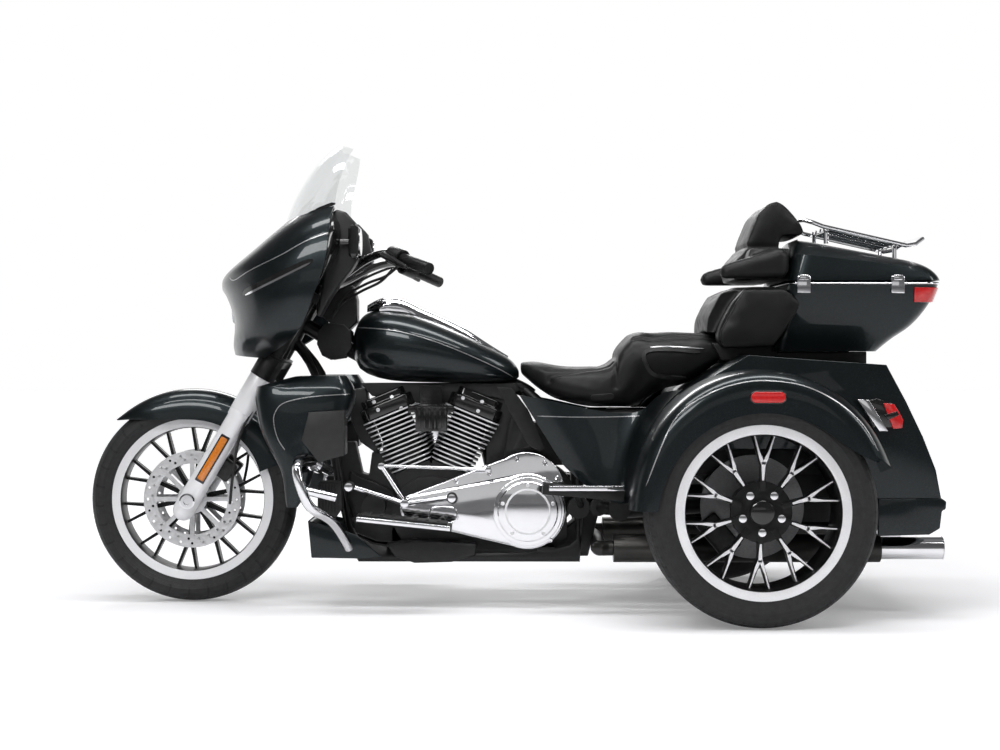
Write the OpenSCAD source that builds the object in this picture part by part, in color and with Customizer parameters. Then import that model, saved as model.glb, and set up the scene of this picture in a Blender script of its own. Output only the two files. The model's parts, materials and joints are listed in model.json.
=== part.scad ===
// Touring trike: one steered front wheel, an air-cooled V-twin and two rear wheels under wide fenders.
// Millimetres. +X forward, +Y left, +Z up, origin on the ground under the middle of the whole part.
// Front pieces are measured from the front axle, rear pieces from the rear axle.

/* [Layout] */
// Distance between the axles
wheelbase = 1685; // [1660:1:1710]
// Rear axle to the rear lip of the top box
rear_overhang = 585; // [575:1:600]
// Distance between the centres of the rear tyres
rear_track = 1142; // [1130:1:1160]
// Lean of the steering axis
rake = 26; // [25:0.5:27]
// Ground distance from the steering axis to the front contact
trail = 99; // [90:1:110]

/* [Front wheel] */
// Tyre outer radius
front_tyre_r = 319; // [314:1:322]
// Tyre section width
front_tyre_w = 130; // [124:1:134]
// Tyre height over the rim edge
front_tyre_h = 69; // [66:0.5:72]
// Rim width
front_rim_w = 100; // [92:1:106]
// Brake disc radius
front_disc_r = 150; // [140:1:155]
// Axle radius
front_axle_r = 12.5; // [12:0.1:14]
// Hole through the front axle
front_axle_bore_r = 9; // [7:0.1:9.5]

/* [Rear wheels] */
// Tyre outer radius
rear_tyre_r = 325; // [320:1:330]
// Tyre section width
rear_tyre_w = 206; // [196:1:212]
// Tyre height over the rim edge
rear_tyre_h = 80; // [77:0.5:84]
// Rim width
rear_rim_w = 192; // [180:1:198]
// Brake disc radius
rear_disc_r = 150; // [140:1:155]
// Stub axle radius
stub_r = 20; // [18:0.5:24]
// Wheel nut circle radius
nut_circle_r = 57; // [54:0.5:60]

/* [Fork] */
// Lean of the fork legs
fork_lean = 30.5; // [30:0.1:31]
// Half the distance between the legs
fork_half = 112; // [110:0.5:118]
// Slider radius
slider_r = 33; // [30:0.5:34]
// Fork leg between the slider and the lower clamp
clamp_gap = 170; // [164:1:180]
// Fork tube radius
fork_tube_r = 24.5; // [22:0.5:26]
// Steering stem radius
stem_r = 16; // [14:0.5:18]
// Handlebar tube radius
bar_r = 13; // [12:0.5:15]

/* [Engine] */
// Crankshaft distance behind the front axle
crank_back = 741; // [735:1:747]
// Crankshaft height
crank_z = 275; // [272:1:280]
// Half the angle between the cylinders
vee_half = 22.5; // [22:0.1:23]
// Number of fins on a cylinder
fin_count = 13; // [10:1:14]
// Fin thickness
fin_t = 4.5; // [3:0.5:6]
// Clutch cover radius
derby_r = 104; // [96:1:108]

/* [Body] */
// Thickness of moulded panels
panel_t = 5; // [4:0.5:6]
// Space between a rear tyre and the outer side of its fender
fender_gap = 16; // [14:0.5:24]
// Space between a rear tyre and the side of the trunk
trunk_gap = 30; // [28:0.5:36]
// Wall thickness of the trunk and top box
wall_t = 8; // [6:0.5:10]
// Height of the top box seam
tour_seam_z = 985; // [980:1:990]
// Half width of the top box at its seam
tour_half = 298; // [290:1:304]
// Frame tube radius
frame_r = 16; // [14:0.5:17]
// Engine guard tube radius
guard_r = 16; // [14:0.5:18]

/* [Fits] */
// Clearance of turning bores
turn_fit = 0.05; // [0.02:0.01:0.1]
// Gap between pieces that sit on one another
seat_gap = 0.4; // [0.3:0.1:0.8]
// Gap around moving lids
lid_gap = 5; // [5:0.5:8]

/* [Hidden] */
$fn = 64;
front_axle_x = (wheelbase + rear_overhang - front_tyre_r)/2;
rear_axle_x = front_axle_x - wheelbase;
rear_mid_y = rear_track/2;
front_rim_r = front_tyre_r - front_tyre_h;
rear_rim_r = rear_tyre_r - rear_tyre_h;
fender_half = rear_mid_y + rear_tyre_w/2 + fender_gap;
trunk_half = rear_mid_y - rear_tyre_w/2 - trunk_gap;
disc_y = front_rim_w/2 + 9;
hub_half = front_rim_w/2 + 5;
rear_hub_in = rear_mid_y - 141;
rear_disc_t = 7;
// Trunk floor over the axle and its discs
floor_z = rear_tyre_r + rear_disc_r + 17;

// Distance from the front axle along a fork leg to height z
function along_leg(z) = (z - front_tyre_r)/cos(fork_lean);
// Point x, y, z of a fork leg seen from the front contact
function leg_point(x, y, z) = [x*cos(fork_lean) - z*sin(fork_lean), y,
    front_tyre_r + x*sin(fork_lean) + z*cos(fork_lean)];
clamp_low = along_leg(737.75);
clamp_high = along_leg(935.93);
slider_len = clamp_low - clamp_gap;

// Fairing sections, bottom to top: nose x, nose z, rear edge x, half width, rear edge z
fairing_rows = [
    [-133, 768, -237, 150, 760],
    [-129, 800, -319, 285, 806],
    [-137, 842, -367, 350, 847],
    [-131, 890, -391, 378, 893],
    [-114, 938, -414, 390, 954],
    [-93, 978, -440, 392, 1022],
    [-107, 1010, -449, 388, 1080],
    [-169, 1060, -454, 375, 1130],
    [-234, 1115, -456, 345, 1172],
    [-288, 1161, -462, 300, 1203]];

// Screen sections, bottom to top, same columns
screen_rows = [
    [-289.6, 1163.4, -463.5, 299, 1206],
    [-317, 1237, -468, 268, 1262],
    [-365, 1319, -484, 240, 1322],
    [-412, 1376, -497, 200, 1364],
    [-452, 1410, -505, 140, 1390]];

// Inner fairing sections from the lower edge up and forward, same columns
dash_rows = [
    [-455, 1040, -415, 389.4, 955],
    [-480, 1068, -441, 391.4, 1022],
    [-494, 1105, -450, 387.4, 1080],
    [-492, 1150, -455, 374.4, 1130],
    [-475, 1180, -457, 344.2, 1171],
    [-425, 1186, -462.6, 298, 1197],
    [-330, 1166, -462.6, 290, 1198]];

// Tank sections, rear to front: x, bottom z, top z, half width
tank_rows = [
    [-1013, 694, 716, 40],
    [-1000, 684, 742, 66],
    [-957, 678, 771, 98],
    [-890, 678, 806, 128],
    [-805, 678, 850, 150],
    [-725, 679, 883, 160],
    [-640, 682, 905, 156],
    [-585, 690, 907, 142],
    [-540, 706, 900, 118],
    [-512, 728, 872, 85],
    [-498, 760, 830, 44]];

// Tank console sections, rear to front: x, top z, half width
console_rows = [
    [-979, 764, 22],
    [-920, 800, 30],
    [-848, 848, 36],
    [-738, 901, 44],
    [-690, 921, 52],
    [-660, 941, 58],
    [-597, 947, 60],
    [-559, 942, 54],
    [-541, 922, 40]];

// Seat sections from the nose to the rear end: share of the length, bottom z, top z, half width
seat_rows = [
    [0, 712, 752, 40],
    [0.06, 680, 749, 92],
    [0.14, 640, 737, 134],
    [0.22, 618, 729, 158],
    [0.34, 602, 728, 180],
    [0.44, 601, 735, 186],
    [0.485, 601, 778, 184],
    [0.53, 601, 820, 180],
    [0.59, 602, 836, 176],
    [0.66, 645, 832, 176],
    [0.74, 666, 836, 178],
    [0.82, 676, 834, 180],
    [0.92, 714, 831, 180],
    [1, 744, 826, 174]];

// Leg fairing sections, bottom to top: z, rear x, front x, inner y, outer y
leg_rows = [
    [314, -354, -322, 285, 325],
    [342, -374, -317, 262, 330],
    [422, -400, -303, 215, 338],
    [507, -424, -254, 180, 340],
    [560, -488, -232, 160, 340],
    [620, -520, -222, 150, 338],
    [661, -522, -218, 150, 332],
    [690, -508, -262, 160, 318],
    [703, -494, -340, 180, 300]];

// Top box sections, bottom to top: z, rear x, front x, half width less the seam half width, corner radius
box_rows = [
    [776, -405, -92, -62, 40],
    [823, -457, -95, -40, 45],
    [845, -502, -98, -32, 48],
    [918, -560, -110, -11, 48],
    [982, -583, -128, 0, 48]];

// Top box lid rings, bottom to top: rear x inside the lip, front x, half width less the seam half width,
// corner radius, height over the seam at the front, height at the rear
lid_rows = [
    [0, -128, 2, 48, 2, 2],
    [2, -130, 1, 48, 14, 12],
    [19, -146, -10, 56, 82, 36],
    [42, -166, -58, 60, 116, 56],
    [70, -180, -118, 60, 135, 66]];

// Fender crown over the tyre radius by angle from the top, forward positive
crown_rows = [[-70, 59], [-55, 64], [-35, 71], [0, 76], [35, 66], [60, 51], [89, 47]];
// Fender opening over the tyre radius by the same angle
lip_rows = [[-70, 49], [-66, 20], [-60, -11], [-50, -33], [-30, -42], [0, -46], [40, -44], [70, -37],
    [89, -30]];
// Tail lamp corners: angle from the top and height over the tyre radius
tail_rows = [[-45.7, 111], [-48.2, 147], [-52.3, 170.5], [-60.4, 163], [-60.5, 144], [-55.8, 86]];

// Curves and lofts

function unit(v) = v/norm(v);
function mix(a, b, t) = a + (b - a)*t;

// Smooth value of column c at x through table p, whose first column ascends
function step_at(x, p, i = 0) = (i >= len(p) - 2 || x <= p[i + 1][0]) ? i : step_at(x, p, i + 1);
function slope_at(p, c, i) = let (a = max(i - 1, 0), b = min(i + 1, len(p) - 1))
    (p[b][c] - p[a][c])/(p[b][0] - p[a][0]);
function curve(x, p, c) = let (
    i = step_at(x, p), h = p[i + 1][0] - p[i][0], t = (x - p[i][0])/h,
    m0 = slope_at(p, c, i)*h, m1 = slope_at(p, c, i + 1)*h)
    p[i][c]*(1 + 2*t)*(1 - t)*(1 - t) + m0*t*(1 - t)*(1 - t) + p[i + 1][c]*t*t*(3 - 2*t) + m1*t*t*(t - 1);

// Table rows read by their number
function numbered(p) = [for (i = [0:len(p) - 1]) concat([i], p[i])];

// Points of a smooth path through p, n steps between neighbours
function spline_at(a, b, c, d, t) =
    0.5*(2*b + (c - a)*t + (2*a - 5*b + 4*c - d)*t*t + (3*b - a - 3*c + d)*t*t*t);
function spline(p, n) = let (m = len(p) - 1) [
    for (i = [0:m - 1]) for (k = [0:n - 1])
        spline_at(p[max(i - 1, 0)], p[i], p[i + 1], p[min(i + 2, m)], k/n),
    p[m]];

// Closed ring across X with squareness e, where 1 is an ellipse
function ring_x(x, w, z0, z1, e, n) = [for (i = [0:n - 1]) let (c = cos(360*i/n), s = sin(360*i/n))
    [x, w*sign(c)*pow(abs(c), e), (z0 + z1)/2 + (z1 - z0)/2*sign(s)*pow(abs(s), e)]];

// Rounded rectangle seen from above
function ring_z(x0, x1, w, r, n = 5) = [
    for (q = [0:3]) for (k = [0:n]) let (a = 90*q + 90*k/n)
        [(q == 0 || q == 3 ? x1 - r : x0 + r) + r*cos(a), (q < 2 ? w - r : r - w) + r*sin(a)]];

module loft(rings) {
    n = len(rings[0]);
    m = len(rings) - 1;
    sides = [for (k = [0:m - 1]) for (i = [0:n - 1])
        let (a = k*n + i, b = k*n + (i + 1)%n) each [[a, a + n, b + n], [a, b + n, b]]];
    caps = [[for (i = [0:n - 1]) i], [for (i = [n - 1:-1:0]) m*n + i]];
    polyhedron([for (r = rings) each r], concat(sides, caps), convexity = 6);
}

function grid_normal(g, i, j) = unit(cross(
    g[i][min(j + 1, len(g[0]) - 1)] - g[i][max(j - 1, 0)],
    g[min(i + 1, len(g) - 1)][j] - g[max(i - 1, 0)][j]));

// Sheet of thickness t behind a grid of points
module sheet(g, t) {
    rows = len(g);
    cols = len(g[0]);
    n = rows*cols;
    back = [for (i = [0:rows - 1]) for (j = [0:cols - 1]) g[i][j] - t*grid_normal(g, i, j)];
    skin = [for (i = [0:rows - 2]) for (j = [0:cols - 2])
        let (a = i*cols + j, b = a + 1, c = b + cols, d = a + cols)
        each [[a, d, c], [a, c, b], [a + n, c + n, d + n], [a + n, b + n, c + n]]];
    low = [for (j = [0:cols - 2]) let (a = j, b = j + 1) each [[a, b, b + n], [a, b + n, a + n]]];
    high = [for (j = [0:cols - 2]) let (d = (rows - 1)*cols + j, c = d + 1)
        each [[c, d, d + n], [c, d + n, c + n]]];
    start = [for (i = [0:rows - 2]) let (a = i*cols, d = a + cols) each [[d, a, a + n], [d, a + n, d + n]]];
    end = [for (i = [0:rows - 2]) let (b = i*cols + cols - 1, c = b + cols)
        each [[b, c, c + n], [b, c + n, b + n]]];
    polyhedron(concat([for (r = g) each r], back), concat(skin, low, high, start, end), convexity = 10);
}

// Round bar of radius r along path p
module sweep(p, r, n = 12) {
    m = len(p) - 1;
    way = [for (i = [0:m]) unit(p[min(i + 1, m)] - p[max(i - 1, 0)])];
    first = unit(cross(way[0], abs(way[0][2]) > 0.9 ? [0, 1, 0] : [0, 0, 1]));
    side = [for (i = 0, s = first; i <= m; i = i + 1,
        s = i > m ? s : unit(s - (s*way[i])*way[i])) s];
    loft([for (i = [0:m]) let (u = side[i], v = cross(way[i], u))
        [for (k = [0:n - 1]) p[i] + r*(cos(360*k/n)*u + sin(360*k/n)*v)]]);
}

// Straight round bar between two points
module rod(a, b, r) {
    d = b - a;
    translate(a)
        rotate([0, acos(d[2]/norm(d)), atan2(d[1], d[0])])
            cylinder(h = norm(d), r = r);
}

module at_front() { translate([front_axle_x, 0, 0]) children(); }
module at_rear() { translate([rear_axle_x, 0, 0]) children(); }
module both() { children(); mirror([0, 1, 0]) children(); }
module leg_frame(side) {
    translate([0, side*fork_half, front_tyre_r]) rotate([0, -fork_lean, 0]) children();
}
// Side view outline pushed out from y0 to y1
module slab(y0, y1) { translate([0, y1, 0]) rotate([90, 0, 0]) linear_extrude(y1 - y0) children(); }
// Disc with its axis along Y
module drum(r, y0, y1) { translate([0, y0, 0]) rotate([-90, 0, 0]) cylinder(h = y1 - y0, r = r); }

// Wheels

module tyre(r, w, rim_r, rim_w, square) {
    wide_r = mix(rim_r, r, 0.42);
    half = rim_w/2;
    rotate([90, 0, 0]) rotate_extrude() polygon(concat(
        [for (a = [-90:15:90]) let (c = cos(a), s = sin(a))
            [wide_r + (r - wide_r)*pow(max(c, 0), square), w/2*sign(s)*pow(abs(s), square)]],
        [[rim_r + 0.5, half - 1], [rim_r + 0.5, half - 8.4], [rim_r - 15.6, half - 8.4],
         [rim_r - 15.6, 8.4 - half], [rim_r + 0.5, 8.4 - half], [rim_r + 0.5, 1 - half]]));
}

module rim(rim_r, rim_w) {
    half = rim_w/2;
    rotate([90, 0, 0]) rotate_extrude() polygon([
        [rim_r - 26, -half], [rim_r, -half], [rim_r, 8 - half], [rim_r - 16, 8 - half],
        [rim_r - 16, half - 8], [rim_r, half - 8], [rim_r, half], [rim_r - 26, half],
        [rim_r - 30, half - 18], [rim_r - 30, 18 - half]]);
}

// Forked spokes seen from the side, running from hub_r to rim_r
module spokes(count, hub_r, rim_r, turn) {
    fork_r = mix(hub_r, rim_r, 0.52);
    for (k = [0:count - 1]) rotate(360*k/count + turn) {
        polygon([[-8, hub_r], [8, hub_r], [6, fork_r], [-6, fork_r]]);
        for (s = [-1, 1]) polygon([[-s*5, fork_r - 12], [s*8, fork_r - 10], [s*(rim_r*0.135 + 4), rim_r],
            [s*(rim_r*0.135 - 4), rim_r], [s*4, fork_r + 14], [-s*4, fork_r + 6]]);
    }
}

module front_tyre() color("#1b1b1c") at_front() translate([0, 0, front_tyre_r])
    tyre(front_tyre_r, front_tyre_w, front_rim_r, front_rim_w, 0.9);

module front_wheel() color("#2a2b2d") at_front() translate([0, 0, front_tyre_r]) difference() {
    union() {
        rim(front_rim_r, front_rim_w);
        drum(48, -hub_half, hub_half);
        translate([0, 17, 0]) rotate([90, 0, 0]) linear_extrude(34)
            spokes(10, 40, front_rim_r - 28, 6);
    }
    drum(front_axle_r + turn_fit, -hub_half - 1, hub_half + 1);
}

module front_discs() color("#b9bcc0") at_front() translate([0, 0, front_tyre_r]) both()
    slab(hub_half + seat_gap, hub_half + seat_gap + 5) difference() {
        union() {
            difference() {
                circle(r = front_disc_r);
                circle(r = front_disc_r - 40);
            }
            difference() {
                for (a = [0:45:315]) rotate(a) translate([0, -7]) square([front_disc_r - 30, 14]);
                circle(r = 30);
            }
            difference() {
                circle(r = 46);
                circle(r = front_axle_r + 8);
            }
        }
        for (a = [0:15:345]) rotate(a) translate([front_disc_r - 13, 0]) circle(r = 4);
        for (a = [5:15:350]) rotate(a) translate([front_disc_r - 27, 0]) circle(r = 4);
    }

module rear_tyre(s) at_rear() translate([0, s*rear_mid_y, rear_tyre_r])
    tyre(rear_tyre_r, rear_tyre_w, rear_rim_r, rear_rim_w, 0.5);

// Rear wheel on the left, measured from its own middle
module rear_wheel() difference() {
    union() {
        rim(rear_rim_r, rear_rim_w);
        drum(86, 20, 52);
        drum(66, -141, 20);
        translate([0, 58, 0]) rotate([90, 0, 0]) linear_extrude(40) spokes(10, 60, rear_rim_r - 28, 2);
        for (a = [90:72:378]) rotate([0, a, 0]) translate([nut_circle_r, 0, 0]) drum(11, 50, 66);
        drum(34, 50, 70);
    }
    drum(stub_r + turn_fit, -142, 45);
}

module rear_disc() difference() {
    drum(rear_disc_r, -141 - seat_gap - rear_disc_t, -141 - seat_gap);
    drum(stub_r + 14, -170, -130);
}

module rear_place(s) at_rear() translate([0, 0, rear_tyre_r]) scale_side(s)
    translate([0, rear_mid_y, 0]) children();
module scale_side(s) {
    if (s > 0) children();
    else mirror([0, 1, 0]) children();
}

module rear_tyre_left() color("#1b1b1c") rear_tyre(1);
module rear_tyre_right() color("#1b1b1c") rear_tyre(-1);
module rear_wheel_left() color("#2a2b2d") rear_place(1) rear_wheel();
module rear_wheel_right() color("#2a2b2d") rear_place(-1) rear_wheel();
module rear_disc_left() color("#8d9094") rear_place(1) rear_disc();
module rear_disc_right() color("#8d9094") rear_place(-1) rear_disc();

// Fork and what turns with it

// Point on the steering axis at height z
function axis_at(z) = [trail - tan(rake)*z, 0, z];

module fork_uppers() color("#202123") at_front() {
    for (s = [-1, 1]) leg_frame(s) {
        translate([0, 0, slider_len + 122]) cylinder(h = 70, r = slider_r + 6);
        translate([0, 0, slider_len + seat_gap])
            cylinder(h = clamp_high + 29 - slider_len, r = fork_tube_r);
    }
    leg_frame(0) {
        translate([-34, -fork_half - 30, clamp_low]) cube([68, 2*fork_half + 60, 30]);
        translate([-34, -fork_half - 30, clamp_high]) cube([68, 2*fork_half + 60, 28]);
    }
    rod(axis_at(742), axis_at(944), stem_r);
    for (s = [-1, 1])
        rod(leg_point(0, s*fork_half, along_leg(890)), [-196 - seat_gap, s*fork_half, 890], 10);
}

module fork_sliders() color("#c9ccd0") at_front() for (s = [-1, 1]) leg_frame(s) {
    difference() {
        union() {
            translate([0, 0, -34]) cylinder(h = slider_len + 34, r = slider_r);
            translate([0, 0, -34]) sphere(r = slider_r);
            translate([0, 0, slider_len - 22]) cylinder(h = 22, r = slider_r + 3);
        }
        drum(front_axle_r + 0.2, -80, 80);
    }
    translate([0, 0, slider_len + seat_gap]) difference() {
        cylinder(h = 121, r = slider_r + 4);
        translate([0, 0, -1]) cylinder(h = 124, r = fork_tube_r + seat_gap);
    }
}

module front_axle() color("#9fa3a8") at_front() translate([0, 0, front_tyre_r]) difference() {
    union() {
        drum(front_axle_r, -fork_half - slider_r - 4, fork_half + slider_r + 4);
        both() drum(front_axle_r + 6, hub_half + seat_gap, fork_half - slider_r - 1);
    }
    drum(front_axle_bore_r, -fork_half - slider_r - 5, fork_half + slider_r + 5);
}

// Front fender point at angle a from the top and share s across, -1 right edge to 1 left edge
fender_w = fork_half - slider_r - 3 - seat_gap;
front_fender_r = front_tyre_r - 72;
function front_fender_low(a) = a > 0 ? min(front_fender_r/cos(a), front_tyre_r + 19)
    : front_fender_r - a*a*0.004;
function front_fender_at(a, s) = let (
    e = front_fender_low(a), q = 90*abs(s), top = front_tyre_r + 22,
    r = e + (top - e)*pow(cos(q), 0.72),
    w = fender_w*(a > 24 ? mix(1, 0.55, pow((a - 24)/20, 2)) : 1))
    [r*sin(a), sign(s)*w*pow(sin(q), 0.72), front_tyre_r + r*cos(a)];

module front_fender() color("#33474a") at_front()
    sheet([for (a = [-68:7:44]) [for (s = [-1:1/7:1.01]) front_fender_at(a, s)]], 3);

module front_calipers() color("#8b8e93") at_front() translate([0, 0, front_tyre_r]) both()
    rotate([0, -128, 0])
    difference() {
        translate([front_disc_r - 44, hub_half - 18, -52])
            cube([62, fork_half - slider_r - 0.5 - hub_half + 18, 104]);
        translate([front_disc_r - 60, hub_half - 5, -60]) cube([66, 15, 120]);
    }

// Fairing style surface: nose to rear edge across, rows of nose x, nose z, edge x, half width, edge z
function sweep_at(rows, t, s, flat) = let (
    p = numbered(rows), q = 90*abs(s), f = 1 - pow(cos(q), flat),
    nose_x = curve(t, p, 1), nose_z = curve(t, p, 2), edge_x = curve(t, p, 3),
    half = curve(t, p, 4), edge_z = curve(t, p, 5))
    [mix(nose_x, edge_x, f), sign(s)*half*pow(sin(q), 0.92), mix(nose_z, edge_z, f)];
function sweep_grid(rows, n, m, flat) = [for (i = [0:n]) [for (j = [0:m])
    sweep_at(rows, i*(len(rows) - 1)/n, 1 - 2*j/m, flat)]];

// Headlamp outline: half the straight part and the end radius
lamp_half = 62;
lamp_r = 54;

module lamp_outline(grow) {
    square([2*lamp_half, 2*(lamp_r + grow)], center = true);
    for (s = [-1, 1]) translate([s*lamp_half, 0]) circle(r = lamp_r + grow);
}
// Lamp outline pushed forward from x0 to x1
module lamp_block(x0, x1, grow) translate([x0, 0, 906]) rotate([90, 0, 90]) linear_extrude(x1 - x0)
    lamp_outline(grow);

module fairing_shell() color("#33474a") at_front() difference() {
    sheet(sweep_grid(fairing_rows, 15, 20, 0.85), panel_t);
    lamp_block(-260, -40, seat_gap);
}

module fairing_inner() color("#222325") at_front()
    sheet(sweep_grid(dash_rows, 10, 14, 0.85), panel_t);

module windshield() color("#aab4b8") at_front() sheet(sweep_grid(screen_rows, 8, 14, 0.9), 4.5);

module headlamp() color("#d7dade") at_front() {
    lamp_block(-196, -137, 0);
    lamp_block(-136.9, -129, -10);
}

// Left half of the handlebar from the middle out
bar_path = [[-432, 0, 984], [-436, 62, 985], [-470, 118, 1004], [-535, 190, 1046], [-590, 262, 1066],
    [-621, 305, 1066.2], [-655, 345, 1052.2], [-700, 398, 1033.2], [-746, 452, 1014]];

module handlebar() color("#1f2022") at_front() {
    p = spline(bar_path, 2);
    n = len(p) - 1;
    sweep(concat([for (i = [n:-1:1]) [p[i][0], -p[i][1], p[i][2]]], p), bar_r, 10);
    for (s = [-1, 1]) {
        leg_frame(0) translate([-14, 45*s, clamp_high + 28 + seat_gap]) cylinder(h = 24, r = 15);
        rod(leg_point(-14, 45*s, clamp_high + 44), [-434, 45*s, 984.8], 15);
    }
}

module hand_controls() color("#28292b") at_front() both() {
    way = unit(bar_path[8] - bar_path[7]);
    end = bar_path[8] + 6*way;
    difference() {
        rod(end - 130*way, end, 18);
        rod(end - 131*way, end - 5*way, bar_r + seat_gap);
    }
    difference() {
        rod(end - 185*way, end - 130.1*way, 27);
        rod(end - 190*way, end - 130*way, bar_r + 6);
    }
    hull() {
        translate(end - 168*way + [34, 0, 4]) sphere(r = 11, $fn = 12);
        translate(end - 20*way + [58, 0, 2]) sphere(r = 7, $fn = 12);
    }
}

module mirrors() color("#1d1e20") at_front() both() {
    hull() for (y = [262, 352]) for (z = [1066, 1132]) translate([-524, y, z]) sphere(r = 17, $fn = 12);
    rod([-515, 310, 1100], [-480.6, 310, 1100], 10);
}

// Frame and engine

head_low = axis_at(792);
head_high = axis_at(920);
head_r = 33;
rail_y = 150;
rail_z = 150;
cradle_x = -480;
pivot = [-1194, 130, 300];

// Covers beside the steering head: inner face and the cross tube that carries them
neck_y = 50;
neck_pin = [-450, 797];

// Cross tube under the seat
seat_rest_x = mix(front_axle_x - 1018, rear_axle_x + 56, 0.47);

// Head tube that carries the steering stem
module steering_head() color("#1e1f21") at_front() difference() {
    rod(head_low, head_high, head_r);
    rod(axis_at(700), axis_at(990), stem_r + turn_fit);
}

// Tubes of the frame, the left one of each pair: main loop and the rail under the seat
module frame() color("#1e1f21") difference() {
    union() {
        at_front() sweep([axis_at(870), [-535, 0, 748], [-860, 0, 728],
            [-1030, 0, 660], [-1050, 0, 640]], 24);
        both() {
            at_front() sweep([axis_at(822), [-404, 62, 700], [cradle_x, 78, 230],
                [cradle_x - 45, rail_y, rail_z],
                [pivot[0], rail_y, rail_z], pivot, [pivot[0], pivot[1], 520], [-1034, 20, 655]], frame_r);
            sweep([[front_axle_x + pivot[0], pivot[1], 470], [front_axle_x + pivot[0] - 12, pivot[1], 560],
                [front_axle_x + pivot[0] - 40, pivot[1], 584], [rear_axle_x + 230, pivot[1], 584],
                [rear_axle_x + 206, pivot[1], 560], [rear_axle_x + 206, pivot[1], 400]], frame_r);
            at_front() translate(pivot) drum(34, -14, 26);
        }
        rod([rear_axle_x + 225, -pivot[1], 584], [rear_axle_x + 225, pivot[1], 584], frame_r - 2);
        rod([seat_rest_x, -pivot[1], 584.4], [seat_rest_x, pivot[1], 584.4], frame_r + 0.2);
        at_front() translate([neck_pin[0], 0, neck_pin[1]]) drum(9, seat_gap - neck_y, neck_y - seat_gap);
        at_front() for (x = [-560, -760]) translate([x, seat_gap - 34, 728])
            cube([30, 68 - 2*seat_gap, 30]);
    }
    at_front() rod(axis_at(700), axis_at(990), head_r + seat_gap);
}

module neck_covers() color("#1c1d1f") at_front() both() slab(neck_y, neck_y + 6)
    polygon([[-402, 764], [-386, 800], [-392, 842], [-416, 866], [-470, 860], [-492, 838], [-494, 790],
        [-470, 756],
        [-430, 750]]);

// Cylinder frame at the crank, leaning by a
module cyl_frame(a) translate([-crank_back, 0, crank_z]) rotate([0, a, 0]) children();

module engine_cases() color("#2b2c2e") at_front() difference() {
    union() {
        translate([-crank_back, 0, crank_z]) drum(118, -105, 100);
        translate([-crank_back - 60, -100, 176]) cube([150, 200, 150]);
        translate([-1160, -105, 196]) cube([345, 205, 190]);
        translate([-1090, 0, 330]) drum(95, -105, 100);
        for (x = [-680, -1120]) translate([x, -rail_y - 12, rail_z + frame_r + 0.3])
            cube([50, 2*rail_y + 24, 14]);
        translate([-567, 0, 302]) drum(36, -118, 118);
        translate([-645, -60, 284]) cube([78, 120, 36]);
        translate([-690, -60, 170]) cube([70, 120, 60]);
        translate([-1130, -80, 170]) cube([70, 160, 60]);
        for (a = [-vee_half, vee_half]) cyl_frame(a) translate([-58, -72, 60]) cube([116, 144, 94.6]);
    }
    translate([-1194, -170, 180]) cube([18, 340, 400]);
}

module fin_outline(w, d) intersection() {
    square([w, d], center = true);
    circle(r = norm([w, d])/2 - 14);
}

fin_top_d = 168;

module cylinders() color("#3a3b3e") at_front() for (a = [-vee_half, vee_half]) cyl_frame(a) {
    translate([0, 0, 155]) cylinder(h = 180, r = 58);
    for (k = [0:fin_count - 1]) translate([0, 0, 160 + k*170/(fin_count - 1)])
        linear_extrude(fin_t)
            fin_outline(mix(132, 178, k/(fin_count - 1)), mix(132, fin_top_d, k/(fin_count - 1)));
}

module rocker_covers() color("#222325") at_front() for (a = [-vee_half, vee_half]) cyl_frame(a)
    translate([0, 0, 335 + seat_gap]) {
        linear_extrude(40) fin_outline(170, 156);
        translate([0, 0, 40]) linear_extrude(25) fin_outline(150, 132);
    }

primary_front = [-694, 300];
primary_rear = [-1038, 292];

module primary_outline() {
    d = primary_front - primary_rear;
    translate(primary_front) circle(r = 44);
    translate(primary_rear) circle(r = 116);
    translate(primary_rear + [4, 62]) circle(r = 116);
    polygon([primary_rear + [-2, 176], primary_rear + [60, 162], primary_front + [6, 43.5],
        primary_front + [6, -43.5],
        primary_rear + [12, -115]]);
}

module primary_cover() color("#c4c8cc") at_front() {
    slab(100 + seat_gap, 176) primary_outline();
    slab(175, 190) intersection() {
        primary_outline();
        union() {
            translate(primary_front) circle(r = 38);
            translate(primary_rear) circle(r = 112);
            polygon([primary_rear + [10, 108], primary_front + [4, 37], primary_front + [4, -37],
                primary_rear + [10, -108]]);
        }
    }
}

module derby_cover() color("#d4d7da") at_front() translate([primary_rear[0], 0, primary_rear[1]]) {
    drum(derby_r, 190 + seat_gap, 204);
    drum(derby_r - 14, 203, 210);
}

module air_cleaner() color("#c4c8cc") at_front() translate([-crank_back, 0, crank_z + 210]) {
    drum(88, -205, -130);
    drum(70, -213, -204);
    translate([-71, -131, 103]) cube([142, 131 - fin_top_d/2 - seat_gap, 26]);
    translate([-36, -131, 40]) cube([72, 34, 70]);
}

module horn_cover() color("#1f2022") at_front() {
    translate([-793, 96, 532]) cube([98, 40, 80]);
    translate([-crank_back - 71, fin_top_d/2 + seat_gap, 588]) cube([142, 13, 22]);
    translate([-crank_back - 34, fin_top_d/2 + seat_gap, 605]) cube([68, 13, 67]);
    for (k = [0:5]) translate([-790 + 16*k, 135, 540]) cube([6, 6, 64]);
}

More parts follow.
